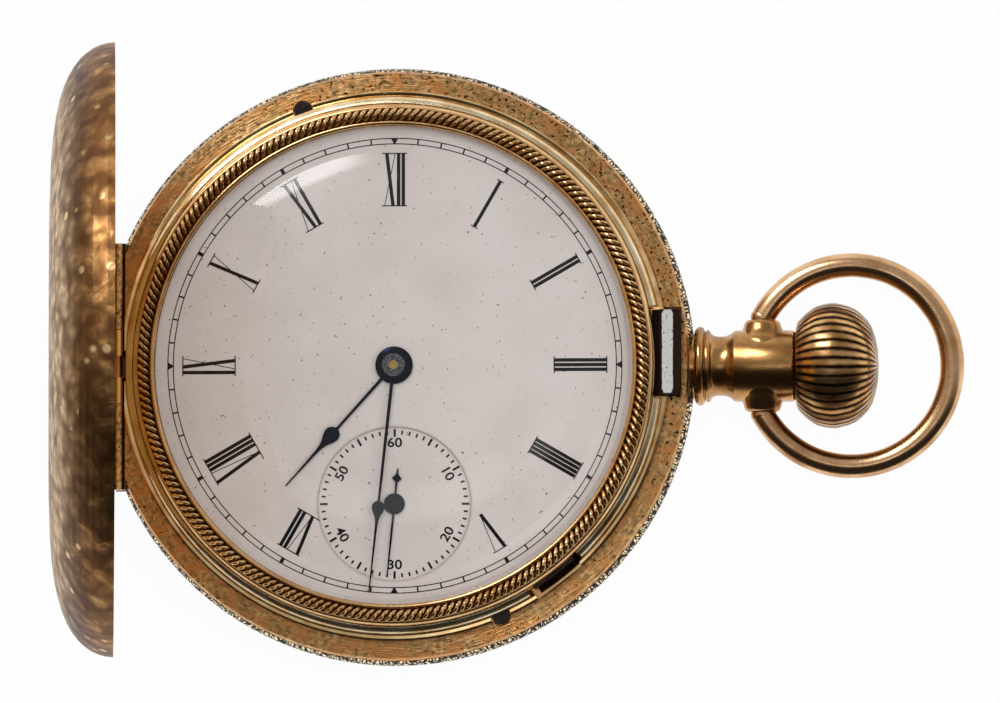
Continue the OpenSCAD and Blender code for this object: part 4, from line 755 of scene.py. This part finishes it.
def cannon_steel():
    """Grey cut steel of the cannon pinion's end, with the arbor's brass tip in its middle."""
    material, tree, place = blank("Cannon steel")
    radius, _, _ = round_place(tree, place)
    tip = add(tree, "MapRange", [radius, 0.3 * MM, 0.26 * MM])
    edge = add(tree, "MapRange", [radius, 0.3 * MM, 0.38 * MM])
    stains = wear(tree, place, 0.2, 0.35, 0.6, detail=5.0)
    steel = add(tree, "Mix", {0: stains, 6: "#8A8C93", 7: "#3E4046"}, 2, data_type="RGBA")
    steel = add(tree, "Mix", {0: edge, 6: "#3A3A40", 7: steel}, 2, data_type="RGBA")
    colour = add(tree, "Mix", {0: tip, 6: steel, 7: "#D9B070"}, 2, data_type="RGBA")
    rough = add(tree, "MapRange", [tip, 0, 1, 0.42, 0.22])
    grain = wear(tree, place, 0.12, detail=3.0)
    return metal(material, tree, colour, rough, grain, 0.01, 0.7)


def ruby():
    """Synthetic ruby: deep red, glossy."""
    material, tree, place = blank("Ruby")
    colour = {0: wear(tree, place, 0.8), 6: colours().ruby, 7: "#7A0E28"}
    colour = add(tree, "Mix", colour, 2, data_type="RGBA")
    stone = {"Base Color": colour, "Roughness": 0.08, "IOR": 1.76}
    add(tree, "OutputMaterial", [add(tree, "BsdfPrincipled", stone)])
    return material


def crystal_glass():
    """Thin ground glass: clear with a clean surface reflection, light passes straight through."""
    material, tree, place = blank("Crystal glass")
    ripple = wear(tree, place, 0.5, detail=3.0, stretch=(1, 0.2, 1))
    relief = add(tree, "Bump", {"Height": ripple, "Distance": 0.001 * MM, "Strength": 0.2})
    mirror = {"Base Color": "#FFFFFF", "Metallic": 1.0, "Roughness": 0.03, "Normal": relief}
    mirror = add(tree, "BsdfPrincipled", mirror)
    clear = add(tree, "BsdfTransparent", {"Color": (0.985, 0.985, 0.98, 1)})
    # The far side of the glass would reflect everything, so only the near side reflects
    far_side = add(tree, "NewGeometry", out="Backfacing")
    near_side = add(tree, "Math", [1.0, far_side], operation="SUBTRACT")
    share = add(tree, "Fresnel", {"IOR": 1.45})
    share = add(tree, "Math", [share, near_side], operation="MULTIPLY")
    add(tree, "OutputMaterial", [add(tree, "MixShader", [share, clear, mirror])])
    return material


def paper_white():
    """Seamless white paper sweep: matt, keeps the watch's soft shadow."""
    material, tree, place = blank("Paper")
    patches = wear(tree, place, 30.0)
    colour = add(tree, "Mix", {0: patches, 6: "#F4F4F4", 7: "#F0F0F0"}, 2, data_type="RGBA")
    paper = add(tree, "BsdfPrincipled", {"Base Color": colour, "Roughness": 0.9})
    rays = add(tree, "LightPath").node.outputs
    seen = [rays["Is Camera Ray"], rays["Is Glossy Ray"]]
    seen = add(tree, "Math", seen, operation="MAXIMUM")
    seen = add(tree, "Math", [seen, 0.96], operation="MULTIPLY")
    white = add(tree, "Emission", {"Strength": 1.0})
    add(tree, "OutputMaterial", [add(tree, "MixShader", [seen, paper, white])])
    return material


# Pieces


class BezelMaker(bpy.types.Operator):
    """Turn the bezel: burnished inner bead, groove of the crystal, bed of the rope edge"""

    bl_idname = "watch.bezel"
    bl_label = "Bezel"

    def execute(self, context):
        profile = [
            (20.88, 9.5), (20.88, 9.8), (21.15, 9.8), (21.15, 10.1), (20.95, 10.12), (20.92, 10.22),
            (20.93, 10.34), (20.97, 10.44), (21.04, 10.51), (21.13, 10.54), (21.22, 10.53),
            (21.3, 10.47), (21.35, 10.38), (21.38, 10.25), (21.46, 10.2), (22.28, 10.2),
            (22.31, 10.3), (22.35, 10.38), (22.41, 10.43), (22.49, 10.43), (22.57, 10.38),
            (22.66, 10.28), (22.75, 10.14), (22.81, 10.02), (22.84, 9.9), (22.84, 8.3),
            (22.24, 8.3), (22.24, 7.9), (21.6, 7.9), (21.6, 9.2), (20.88, 9.5),
        ]
        piece = turned("bezel_gold", profile, 300)
        complete(piece, "case", bezel_gold(), ["bezel"], smooth=35)
        return {"FINISHED"}


class MouldingMaker(bpy.types.Operator):
    """Turn the case's round moulding in arcs that leave the catch and the lever free"""

    bl_idname = "watch.moulding"
    bl_label = "Case moulding"

    def execute(self, context):
        section = [
            (22.89, 8.85), (22.89, 9.9), (22.98, 9.89), (23.1, 9.85), (23.22, 9.78), (23.33, 9.69),
            (23.43, 9.58), (23.5, 9.45), (23.55, 9.28), (23.56, 9.12), (23.56, 8.85), (22.89, 8.85),
        ]
        arcs = []
        # In degrees from 3 o'clock: from the lever's recess to the catch, and round from there
        for first, last in ((-45.6, -7.6), (12.6, 300.6)):
            span = last - first
            piece = turned("arc", section, round(span * 0.8), angle=-math.radians(span))
            bpy.ops.object.mode_set(mode="EDIT")
            bpy.ops.mesh.select_all(action="SELECT")
            bpy.ops.mesh.fill_holes(sides=0)
            close_up()
            arcs.append(copied(settle(piece), first))
            bpy.data.objects.remove(piece)
        complete(joined("case_moulding", arcs), "case", moulding_gold(), smooth=35)
        return {"FINISHED"}


class RopeMaker(bpy.types.Operator):
    """Draw one strand of the rope edge as half a turn of its twist, then repeat it"""

    bl_idname = "watch.rope"
    bl_label = "Rope edge"

    def execute(self, context):
        size = sizes()
        middle, half = size.rope_radius / MM, size.rope_width / MM / 2
        lead = 0.42  # how far a strand runs along the rope in one radian of its turn
        stations = []
        for i in range(9):
            a = math.radians(-88 + 22 * i)  # round the rope, 0 on top of it
            across = middle + half * 0.86 * math.sin(a)
            centre = (across, -lead * a, BEZEL_TOP - 0.66 + 0.5 * math.cos(a))
            heading = math.degrees(math.atan2(-lead, half * 0.86 * math.cos(a)))
            width = 0.22 + 0.19 * math.cos(a)
            stations.append((centre, heading, width, width * 1.05))
        strand = drawn("rope_edge", stations, sides=6)
        repeated(strand, size.rope_teeth)
        complete(strand, "case", rope_gold(), smooth=60)
        return {"FINISHED"}


class CrystalMaker(bpy.types.Operator):
    """Turn the domed crystal with its ground bevel"""

    bl_idname = "watch.crystal"
    bl_label = "Crystal"

    def execute(self, context):
        # Radius of the dome's edge, height of its top, and how far it falls to the edge
        shoulder, crown_z, fall = 18.6, 11.8, 1.1
        radii = (0, 4, 8, 10, 12, 13.5, 14.5, 15.5, 16.3, 17, 17.5, 18, 18.35, shoulder)
        outside = [(r, crown_z - fall * (r / shoulder) ** 6) for r in radii]
        outside += [
            (18.7, 10.69), (20.45, 10.56), (20.6, 10.53), (20.65, 10.08), (21.11, 10.08),
            (21.11, 9.82), (20.45, 9.82),
        ]
        inside = [
            (18.1, 10.3), (15.5, 10.51), (12.67, 10.68), (9.5, 10.82), (6, 10.92), (3, 10.98),
            (0, 11.0),
        ]
        piece = turned("crystal_glass", outside + inside, 240)
        complete(piece, "case", crystal_glass(), ["crystal"], smooth=8)
        return {"FINISHED"}


class TrackMaker(bpy.types.Operator):
    """Lay the minute track and the seconds track on the dial"""

    bl_idname = "watch.tracks"
    bl_label = "Minute and seconds tracks"

    def execute(self, context):
        size = sizes()
        ink = fired_print()
        outer, inner = size.track_outer / MM, size.track_inner / MM
        base, top = DIAL_TOP - PRINT_SUNK, DIAL_TOP + PRINT_PROUD
        line_width = 0.09
        parts = []
        for name, r in (("outer", outer), ("inner", inner)):
            near, far = r - line_width / 2, r + line_width / 2
            line = [(near, base), (near, top), (far, top), (far, base), (near, base)]
            parts.append(turned(name, line, 180))
        shape = [(-0.07, inner), (0.07, inner), (0.07, outer), (-0.07, outer)]
        rung = plate("rung", shape, base, top + 0.001)
        parts.append(repeated(rung, 60))
        for hour in range(12):
            a = hour * 30
            foot, head = inner - 0.02, outer + 0.02
            if hour % 3:
                shape = [(-0.16, foot), (0.16, foot), (0.16, head), (-0.16, head)]
            else:
                shape = [(0, inner - 0.1), (0.36, outer + 0.04), (-0.36, outer + 0.04)]
            shape = [at_hour(a, u, v) for u, v in shape]
            parts.append(plate("hour_rung", shape, base, top + 0.002))
        track = joined("minute_track", parts)
        complete(track, "case", ink, smooth=20)
        base, top = SUNK_TOP - PRINT_SUNK, SUNK_TOP + PRINT_PROUD
        centre = (0, SECONDS_Y)
        shape = [(-0.08, 6.08), (0.08, 6.08), (0.08, 6.44), (-0.08, 6.44)]
        tick = plate("tick", [(u, SECONDS_Y + v) for u, v in shape], base, top)
        parts = [repeated(tick, 60, (0, SECONDS_Y, 0))]
        for i in range(12):
            shape = [(-0.1, 5.87), (0.1, 5.87), (0.1, 6.55), (-0.1, 6.55)]
            shape = [at_hour(i * 30, u, v, centre) for u, v in shape]
            parts.append(plate("tick", shape, base, top + 0.002))
        seconds = joined("seconds_track", parts)
        complete(seconds, "case", ink, smooth=20)
        return {"FINISHED"}


def numeral_strokes(text, foot, head, thick):
    """Strokes of one upright numeral, as outlines of (across, up) points in millimetres."""
    hair, serif = 0.07, 0.1
    widths = {"I": 0.375 if text == "IIII" else 0.41, "V": 1.18, "X": 1.12}
    total = sum(widths[c] for c in text)
    across, outlines = -total / 2, []
    for letter in text:
        w = widths[letter]
        mid = across + w / 2
        low_y, high_y = foot + serif / 2, head - serif / 2
        if letter == "I":
            legs = [(mid, mid, thick)]
        elif letter == "V":
            legs = [(mid, mid - 0.46, thick), (mid + 0.05, mid + 0.5, hair)]
        else:
            legs = [(mid + 0.27, mid - 0.27, thick), (mid - 0.45, mid + 0.45, hair)]
        for bottom, upper, t in legs:
            leg = [(bottom - t / 2, low_y), (bottom + t / 2, low_y)]
            outlines.append(leg + [(upper + t / 2, high_y), (upper - t / 2, high_y)])
        across += w
    reach = total / 2 + 0.13
    for y in (head,) if text == "V" else (foot, head):
        bottom, top = y - serif / 2, y + serif / 2
        outlines.append([(-reach, bottom), (reach, bottom), (reach, top), (-reach, top)])
    return outlines


class NumeralMaker(bpy.types.Operator):
    """Lay the radial numerals of the hours and the small upright numbers of the seconds"""

    bl_idname = "watch.numerals"
    bl_label = "Numerals"

    def execute(self, context):
        size = sizes()
        ink = fired_print()
        foot, head, thick = size.numeral_inner / MM, size.numeral_outer / MM, size.stroke / MM
        base, top = DIAL_TOP - PRINT_SUNK, DIAL_TOP + PRINT_PROUD
        hours = {0: "XII", 1: "I", 2: "II", 3: "III", 4: "IIII", 5: "V"}
        hours |= {7: "VII", 8: "VIII", 9: "IX", 10: "X", 11: "XI"}
        parts = []
        for hour, text in hours.items():
            # The sunk seconds dial cuts 5 and 7 short
            start = 15.0 if hour in (5, 7) else foot
            for n, outline in enumerate(numeral_strokes(text, start, head, thick)):
                # Crossing strokes lie at heights of their own
                lift = 0.001 * (n % 5)
                stroke = [at_hour(hour * 30, u, v) for u, v in outline]
                parts.append(plate("stroke", stroke, base, top + lift))
        hours_piece = joined("hour_numerals", parts)
        complete(hours_piece, "case", ink, smooth=20)
        parts = []
        tens = (("60", 0), ("10", -60), ("20", 60), ("30", 0), ("40", -60), ("50", 60))
        for n, (label, turn) in enumerate(tens):
            deselect()
            bpy.ops.object.text_add()
            word = bpy.context.object
            word.data.body = label
            word.data.align_x = "CENTER"
            word.data.align_y = "CENTER"
            word.data.size = 1.14 * MM
            word.data.offset = 0.022 * MM
            word.data.extrude = 0.011 * MM
            bpy.ops.object.convert(target="MESH")
            x, y = clock(5.33, n * 60, (0, SECONDS_Y))
            word.location = Vector((x, y, SUNK_TOP + 0.004)) * MM
            word.rotation_euler = (0, 0, math.radians(turn))
            word.scale = (1.16, 1.0, 1.0)
            parts.append(settle(word))
        seconds_piece = joined("seconds_numerals", parts)
        complete(seconds_piece, "case", ink, smooth=20)
        return {"FINISHED"}


def pear_blade(start, waist, bulb, bulb_radius, tip, widths):
    """Outline of one side of a hand, from its hub to its tip, as (half width, distance) points."""
    near, far, end = widths
    side = [(near, start), (near * 0.75, waist)]
    for i in range(8):
        a = math.radians(-76 + 14 * i)
        side.append((bulb_radius * math.cos(a), bulb + bulb_radius * math.sin(a)))
    neck = ((0.82, 0.72), (0.6, 1.15), (0.4, 1.6), (0.28, 2.1))
    side += [(bulb_radius * u, bulb + bulb_radius * v) for u, v in neck]
    side += [(far * 1.15, bulb + bulb_radius * 2.8), (far, bulb + bulb_radius * 4)]
    side += [(end, tip - end), (end * 0.5, tip - end * 0.15), (0, tip)]
    return side


class HandMaker(bpy.types.Operator):
    """Model the blued pear hands and the seconds hand"""

    bl_idname = "watch.hands"
    bl_label = "Hands"

    def execute(self, context):
        blue = blued_steel()
        hour_side = pear_blade(1.2, 7.3, 8.14, 0.69, 14.2, (0.15, 0.12, 0.07))
        minute_side = pear_blade(1.2, 11.8, 12.5, 0.56, 20.0, (0.15, 0.1, 0.05))
        kinds = [
            ("hour_hand", "hour_train", 222.0, hour_side, 1.64),
            ("minute_hand", "centre_train", 186.2, minute_side, 1.5),
        ]
        hole = 0.98
        for node, body, turn, side, ring in kinds:
            base, top = low(node).z, high(node).z
            outline = side + [(-u, v) for u, v in reversed(side[:-1])]
            outline = [at_hour(turn, u, v) for u, v in outline]
            blade = plate("blade", outline, base + 0.01, top - 0.01)
            bevelled(blade, 0.045)
            thick = top - base
            profile = [(hole, base), (hole, top - 0.03), (hole + 0.04, top), (ring - 0.1, top)]
            profile += [(ring, top - thick * 0.4), (ring, base), (hole, base)]
            hand = joined(node + "_blued", [blade, turned("hub", profile, 72)])
            complete(hand, body, blue, [node], smooth=35)
        base, top = low("seconds_hand").z, high("seconds_hand").z
        centre = (0, SECONDS_Y)
        turn = 185.7
        side = [(0.1, 0.5), (0.09, 3.0), (0.05, 6.1), (0, 6.24)]
        tail = [(0, -3.2), (0.06, -3.0), (0.1, -2.6), (0.44, -2.23), (0.1, -1.9), (0.07, -0.5)]
        outline = tail + side
        outline += [(-u, v) for half in (side[:-1], tail[1:]) for u, v in reversed(half)]
        outline = [at_hour(turn, u, v, centre) for u, v in outline]
        blade = plate("blade", outline, base + 0.05, min(top, base + 0.2) - 0.01)
        bevelled(blade, 0.03)
        profile = [
            (0.3, base), (0.3, top - 0.02), (0.34, top), (0.82, top), (0.92, top - 0.06),
            (0.92, base), (0.3, base),
        ]
        hub = turned("hub", profile, 48, (0, SECONDS_Y, 0))
        hand = joined("seconds_hand_blued", [blade, hub])
        complete(hand, "seconds_train", blue, ["seconds_hand"], smooth=35)
        return {"FINISHED"}


class PendantMaker(bpy.types.Operator):
    """Turn the pendant's neck and its two ears"""

    bl_idname = "watch.pendant"
    bl_label = "Pendant"

    def execute(self, context):
        neck = [
            (2.2, 25.15), (2.88, 25.15), (2.88, 26.12), (3.12, 26.15), (3.32, 26.3), (3.44, 26.5),
            (3.45, 26.7), (3.36, 26.88), (3.18, 26.98), (3.0, 27.02), (3.0, 27.06), (3.12, 27.12),
            (3.17, 27.24), (3.15, 27.38), (3.05, 27.48), (2.8, 27.6), (2.66, 27.85), (2.6, 28.2),
            (2.6, 28.6), (2.66, 28.95), (2.84, 29.3), (3.02, 29.5), (3.13, 29.7), (3.13, 34.6),
            (3.1, 34.78), (2.96, 34.93), (2.2, 34.93), (2.2, 25.15),
        ]
        body = turned("neck", neck, 128, (0, 0, STEM_HEIGHT), "X")
        ears = []
        for side in (-1, 1):
            ear = [
                (0, 2.0), (2.42, 2.0), (2.34, 2.3), (2.1, 2.62), (1.86, 2.95), (1.7, 3.3),
                (1.6, 3.65), (1.5, 3.86), (1.34, 3.98), (1.15, 4.03), (0, 4.03),
            ]
            profile = [(r, side * h) for r, h in ear]
            ears.append(turned("ear", profile, 64, (BOW_X, 0, STEM_HEIGHT), "Y"))
        satin = satin_gold("Pendant satin gold", "#C89860", "#8A5C34")
        complete(joined("pendant_neck", [body] + ears), "case", satin, ["pendant"])
        return {"FINISHED"}


class BowMaker(bpy.types.Operator):
    """Sweep the bow's wire round its arc and turn the two shanks in the pendant's ears"""

    bl_idname = "watch.bow"
    bl_label = "Bow"

    def execute(self, context):
        reach = math.sqrt(BOW_RADIUS**2 - BOW_END**2)
        centre = Vector((BOW_X + reach, 0, STEM_HEIGHT))
        start = math.atan2(BOW_END, -reach)
        deselect()
        bpy.ops.mesh.primitive_circle_add(vertices=24, radius=BOW_WIRE * MM, fill_type="NGON")
        wire = bpy.context.object
        wire.rotation_euler = (math.radians(90), 0, 0)
        settle(wire)
        wire.rotation_euler = (0, 0, start)
        wire.location = (centre + BOW_RADIUS * Vector((math.cos(start), math.sin(start), 0))) * MM
        settle(wire)
        bpy.ops.object.mode_set(mode="EDIT")
        bpy.ops.mesh.select_all(action="SELECT")
        bpy.ops.mesh.spin(steps=96, angle=2 * start, center=centre * MM, axis=(0, 0, 1))
        close_up()
        parts = [wire]
        for side in (-1, 1):
            shank = [
                (0, 4.06), (1.04, 4.06), (1.06, BOW_END), (1.04, 4.4), (0.96, 4.64), (0.8, 4.85),
                (0.56, 5.03), (0.3, 5.13), (0, 5.16),
            ]
            profile = [(r, side * h) for r, h in shank]
            parts.append(turned("shank", profile, 32, (BOW_X, 0, STEM_HEIGHT), "Y"))
        satin = satin_gold("Bow satin gold", "#EABE90", "#B48458")
        complete(joined("bow_wire", parts), "bow", satin, ["bow"])
        return {"FINISHED"}


class CrownMaker(bpy.types.Operator):
    """Turn the winding crown and press its grooves in"""

    bl_idname = "watch.crown"
    bl_label = "Crown"

    def execute(self, context):
        fractions = [
            (0.586, 0.1), (0.586, 0.004), (0.612, 0), (0.7, 0.02), (0.766, 0.065), (0.828, 0.112),
            (0.875, 0.16), (0.92, 0.207), (0.953, 0.254), (0.985, 0.34), (1, 0.42), (1, 0.48),
            (0.985, 0.54), (0.953, 0.633), (0.9, 0.72), (0.845, 0.775), (0.79, 0.82), (0.72, 0.868),
            (0.617, 0.917), (0.45, 0.96), (0.25, 0.99), (0, 1),
        ]
        profile = [(r * CROWN_RADIUS, CROWN_BASE + t * CROWN_LENGTH) for r, t in fractions]
        profile = [(0, profile[0][1])] + profile
        ribs = sizes().crown_ribs
        piece = turned("crown_knob", profile, ribs * 8, (0, 0, STEM_HEIGHT), "X")
        axis = Vector((0, 0, STEM_HEIGHT)) * MM
        for step, depth in ((0, 0.32), (1, 0.2), (2, 0.06)):
            pick(piece)
            bpy.ops.object.mode_set(mode="EDIT")
            bpy.ops.mesh.select_all(action="DESELECT")
            bpy.ops.object.mode_set(mode="OBJECT")
            for vertex in piece.data.vertices:
                turn = math.atan2(vertex.co.z - axis.z, vertex.co.y) / FULL_TURN * ribs * 8
                phase = round(turn) % 8
                along = (vertex.co.x / MM - CROWN_BASE) / CROWN_LENGTH
                vertex.select = min(phase, 8 - phase) == step and 0.05 < along < 0.95
            bpy.ops.object.mode_set(mode="EDIT")
            shrink = 1 - depth / CROWN_RADIUS
            bpy.ops.transform.resize(value=(1, shrink, shrink), center_override=axis)
            bpy.ops.object.mode_set(mode="OBJECT")
        complete(piece, "crown", ribbed_gold(), ["crown"], smooth=30)
        return {"FINISHED"}


class CaseFinisher(bpy.types.Operator):
    """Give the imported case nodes, the springs and the dial their finishes"""

    bl_idname = "watch.case_finish"
    bl_label = "Case, springs and dial finishes"

    def execute(self, context):
        blue = blued_steel()
        finishes = {
            "case_centre": case_gold(),
            "front_cover": cover_gold("Engraved lid gold", FRONT_OPEN, (8.65, 5.5, 26.0, 12.4)),
            "back_cover": cover_gold("Engraved back gold"),
            "dust_cover": polished_gold("Polished dust cover gold"),
            "pendant_sleeve": polished_steel("Sleeve steel"),
            "front_hinge_pin": polished_gold("Hinge pin gold", "#D9A07A", "#A06A45"),
            "back_hinge_pin": polished_gold("Hinge pin gold", "#D9A07A", "#A06A45"),
            "case_screws": polished_steel("Dark screw steel", "#3A3432", "#171413", 0.35),
            "spring_screws": blue,
            "lift_spring": polished_steel("Lift spring steel", "#5A5656", "#2A2626", 0.35),
            "lock_spring": catch_steel(),
            "dial": fired_enamel(),
            "seconds_dial": fired_enamel(),
            "dial_feet": gilt_brass("Copper feet"),
            "setting_lever": polished_steel("Lever steel", "#46363A", "#1C1416", 0.35),
            "stem": polished_steel("Stem steel", "#6A625C", "#2A2626", 0.4),
        }
        for node, material in finishes.items():
            cover(node, material)
        return {"FINISHED"}


def cover(node, material):
    """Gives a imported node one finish, its mesh unchanged."""
    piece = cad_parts[node]
    piece.data.materials.clear()
    piece.data.materials.append(material)


class MovementFinisher(bpy.types.Operator):
    """Give the movement's plates, wheels, springs and jewels their finishes"""

    bl_idname = "watch.movement_finish"
    bl_label = "Movement finishes"

    def execute(self, context):
        plates = gilt_brass("Frosted gilt plate")
        wheels = gilt_brass("Polished wheel brass", 0.3, 0.22)
        steel = polished_steel("Pinion steel")
        wound = polished_steel("Snailed steel", "#B9BAC2", "#5C5E66", 0.28)
        blue = blued_steel()
        jewel = ruby()
        cannon = cannon_steel()
        two_metals = gilt_brass("Brass wheel on steel arbor", 0.3, 0.3, 0.5)
        groups = [
            (plates, "main_plate barrel_bridge train_bridge balance_cock pallet_bridge pillars"),
            (wheels, "barrel barrel_cover centre_wheel third_wheel hour_wheel minute_wheel"),
            (wheels, "balance_wheel"),
            (steel, "barrel_arbor escape_wheel pallet_fork balance_staff regulator"),
            (steel, "hairspring_stud winding_pinion click_spring"),
            (wound, "ratchet_wheel crown_wheel click crown_wheel_core"),
            (blue, "mainspring hairspring plate_screws ratchet_screw click_screw"),
            (jewel, "jewels"),
            (cannon, "cannon_pinion"),
            (two_metals, "fourth_wheel"),
        ]
        for material, nodes in groups:
            for node in nodes.split():
                cover(node, material)
        return {"FINISHED"}


def studio_level(tree):
    """Strength of the world's white: plain, and for metal to reflect a lit studio."""
    rays = add(tree, "LightPath").node.outputs
    toward = add(tree, "TexCoord")
    _, y, z = add(tree, "SeparateXYZ", [toward]).node.outputs
    dome = add(tree, "MapRange", [z, 0.1, 0.45, 1.0, 0.42])
    shade = add(tree, "MapRange", [y, -0.3, 0.06, 0.05, 1.0])
    dome = add(tree, "Math", [dome, shade], operation="MULTIPLY")
    # Softboxes by their middle direction, half size, plain share and strength
    boxes = [
        ((-0.4, 0.61, 0), (0.28, 0.18), 0.6, 9.0),
        ((-0.26, 0.42, 0), (0.22, 0.2), 0.1, 1.0),
        ((-0.07, -0.07, 0), (0.5, 0.09), 0.3, 1.1),
    ]
    softbox = 0.0
    for middle, (half_x, half_y), plain, strength in boxes:
        aside = add(tree, "VectorMath", [toward, middle], operation="SUBTRACT")
        share = (1 / half_x, 1 / half_y, 0)
        aside = add(tree, "VectorMath", [aside, share], operation="MULTIPLY")
        aside = add(tree, "VectorMath", [aside], 1, operation="LENGTH")
        ends = [aside, 1.0, plain, 0.0, strength]
        glow = add(tree, "MapRange", ends, interpolation_type="SMOOTHSTEP")
        softbox = add(tree, "Math", [softbox, glow])
    upper = add(tree, "Math", [z, 0.0], operation="GREATER_THAN")
    softbox = add(tree, "Math", [softbox, upper], operation="MULTIPLY")
    dome = add(tree, "Math", [dome, softbox])
    seen = [rays["Is Camera Ray"], rays["Is Transmission Ray"]]
    seen = add(tree, "Math", seen, operation="MAXIMUM")
    level = add(tree, "Mix", {0: rays["Is Glossy Ray"], 2: 0.45, 3: dome}, data_type="FLOAT")
    return add(tree, "Mix", {0: seen, 2: level, 3: 1.0}, data_type="FLOAT")


class StageMaker(bpy.types.Operator):
    """Set the white sweep, the soft lights and the camera"""

    bl_idname = "watch.stage"
    bl_label = "Stage"

    def execute(self, context):
        deselect()
        bpy.ops.mesh.primitive_plane_add(size=4, location=(0, 0, CAD_BOX[0][2] - 0.00002))
        floor = bpy.context.object
        floor.name = "paper_floor"
        settle(floor)
        floor.data.materials.append(paper_white())
        target = Vector((9.09, 1.31, 6.4)) * MM  # middle of the view
        lamps = [
            ("key", (-120, 200, 600), (260, 200), 0.5),
            ("fill", (300, -60, 520), (260, 320), 0.62),
            ("top", (60, 80, 640), (340, 340), 1.1),
        ]
        for name, spot, extent, strength in lamps:
            bpy.ops.object.light_add(type="AREA", location=Vector(spot) * MM)
            lamp = bpy.context.object
            lamp.name = name
            lamp.data.shape = "RECTANGLE"
            lamp.data.size, lamp.data.size_y = (e * MM for e in extent)
            lamp.data.energy = strength
            lamp.visible_glossy = False
            lamp.rotation_euler = (target - lamp.location).to_track_quat("-Z", "Y").to_euler()
        world = bpy.data.worlds.new("Studio")
        bpy.context.scene.world = world
        world.use_nodes = True
        tree = world.node_tree
        tree.nodes.clear()
        level = studio_level(tree)
        background = add(tree, "Background", {"Color": "#FFFFFF", "Strength": level})
        add(tree, "OutputWorld", [background])
        # A long lens, a little to the right of the dial's axis and below it
        sway, nod = math.radians(4.0), math.radians(3.5)
        away = Vector((math.sin(sway), -math.sin(nod), 0))
        away.z = math.sqrt(1 - away.x**2 - away.y**2)
        bpy.ops.object.camera_add(location=target + away * sizes().camera_distance)
        camera = bpy.context.object
        side = Vector((0, 1, 0)).cross(away).normalized()
        upward = away.cross(side)
        facing = Matrix((side, upward, away)).transposed().to_4x4()
        camera.matrix_world = Matrix.Translation(camera.location) @ facing
        camera.data.lens = 287.8
        camera.data.sensor_width = 36
        camera.data.clip_start = 0.01
        bpy.context.scene.camera = camera
        bpy.context.scene.view_settings.view_transform = "Standard"
        return {"FINISHED"}


MAKERS = (
    BezelMaker, MouldingMaker, RopeMaker, CrystalMaker, TrackMaker, NumeralMaker, HandMaker,
    PendantMaker, BowMaker, CrownMaker, CaseFinisher, MovementFinisher, StageMaker,
)


class WatchPanel(bpy.types.Panel):
    """Sizes, colours and makers of the watch."""

    bl_idname = "VIEW3D_PT_watch"
    bl_label = "Watch"
    bl_space_type = "VIEW_3D"
    bl_region_type = "UI"
    bl_category = "Watch"

    def draw(self, context):
        for group in (context.scene.watch_sizes, context.scene.watch_colours):
            box = self.layout.box()
            for name in group.bl_rna.properties.keys():
                if name not in ("rna_type", "name"):
                    box.prop(group, name)
        for maker in MAKERS:
            self.layout.operator(maker.bl_idname)


CLASSES = (WatchSizes, WatchColours) + MAKERS + (WatchPanel,)


def register():
    for item in CLASSES:
        bpy.utils.register_class(item)
    bpy.types.Scene.watch_sizes = bpy.props.PointerProperty(type=WatchSizes)
    bpy.types.Scene.watch_colours = bpy.props.PointerProperty(type=WatchColours)


def unregister():
    del bpy.types.Scene.watch_sizes
    del bpy.types.Scene.watch_colours
    for item in reversed(CLASSES):
        bpy.utils.unregister_class(item)


def main():
    register()
    for maker in MAKERS:
        group, name = maker.bl_idname.split(".")
        getattr(getattr(bpy.ops, group), name)()


if __name__ == "__main__":
    main()
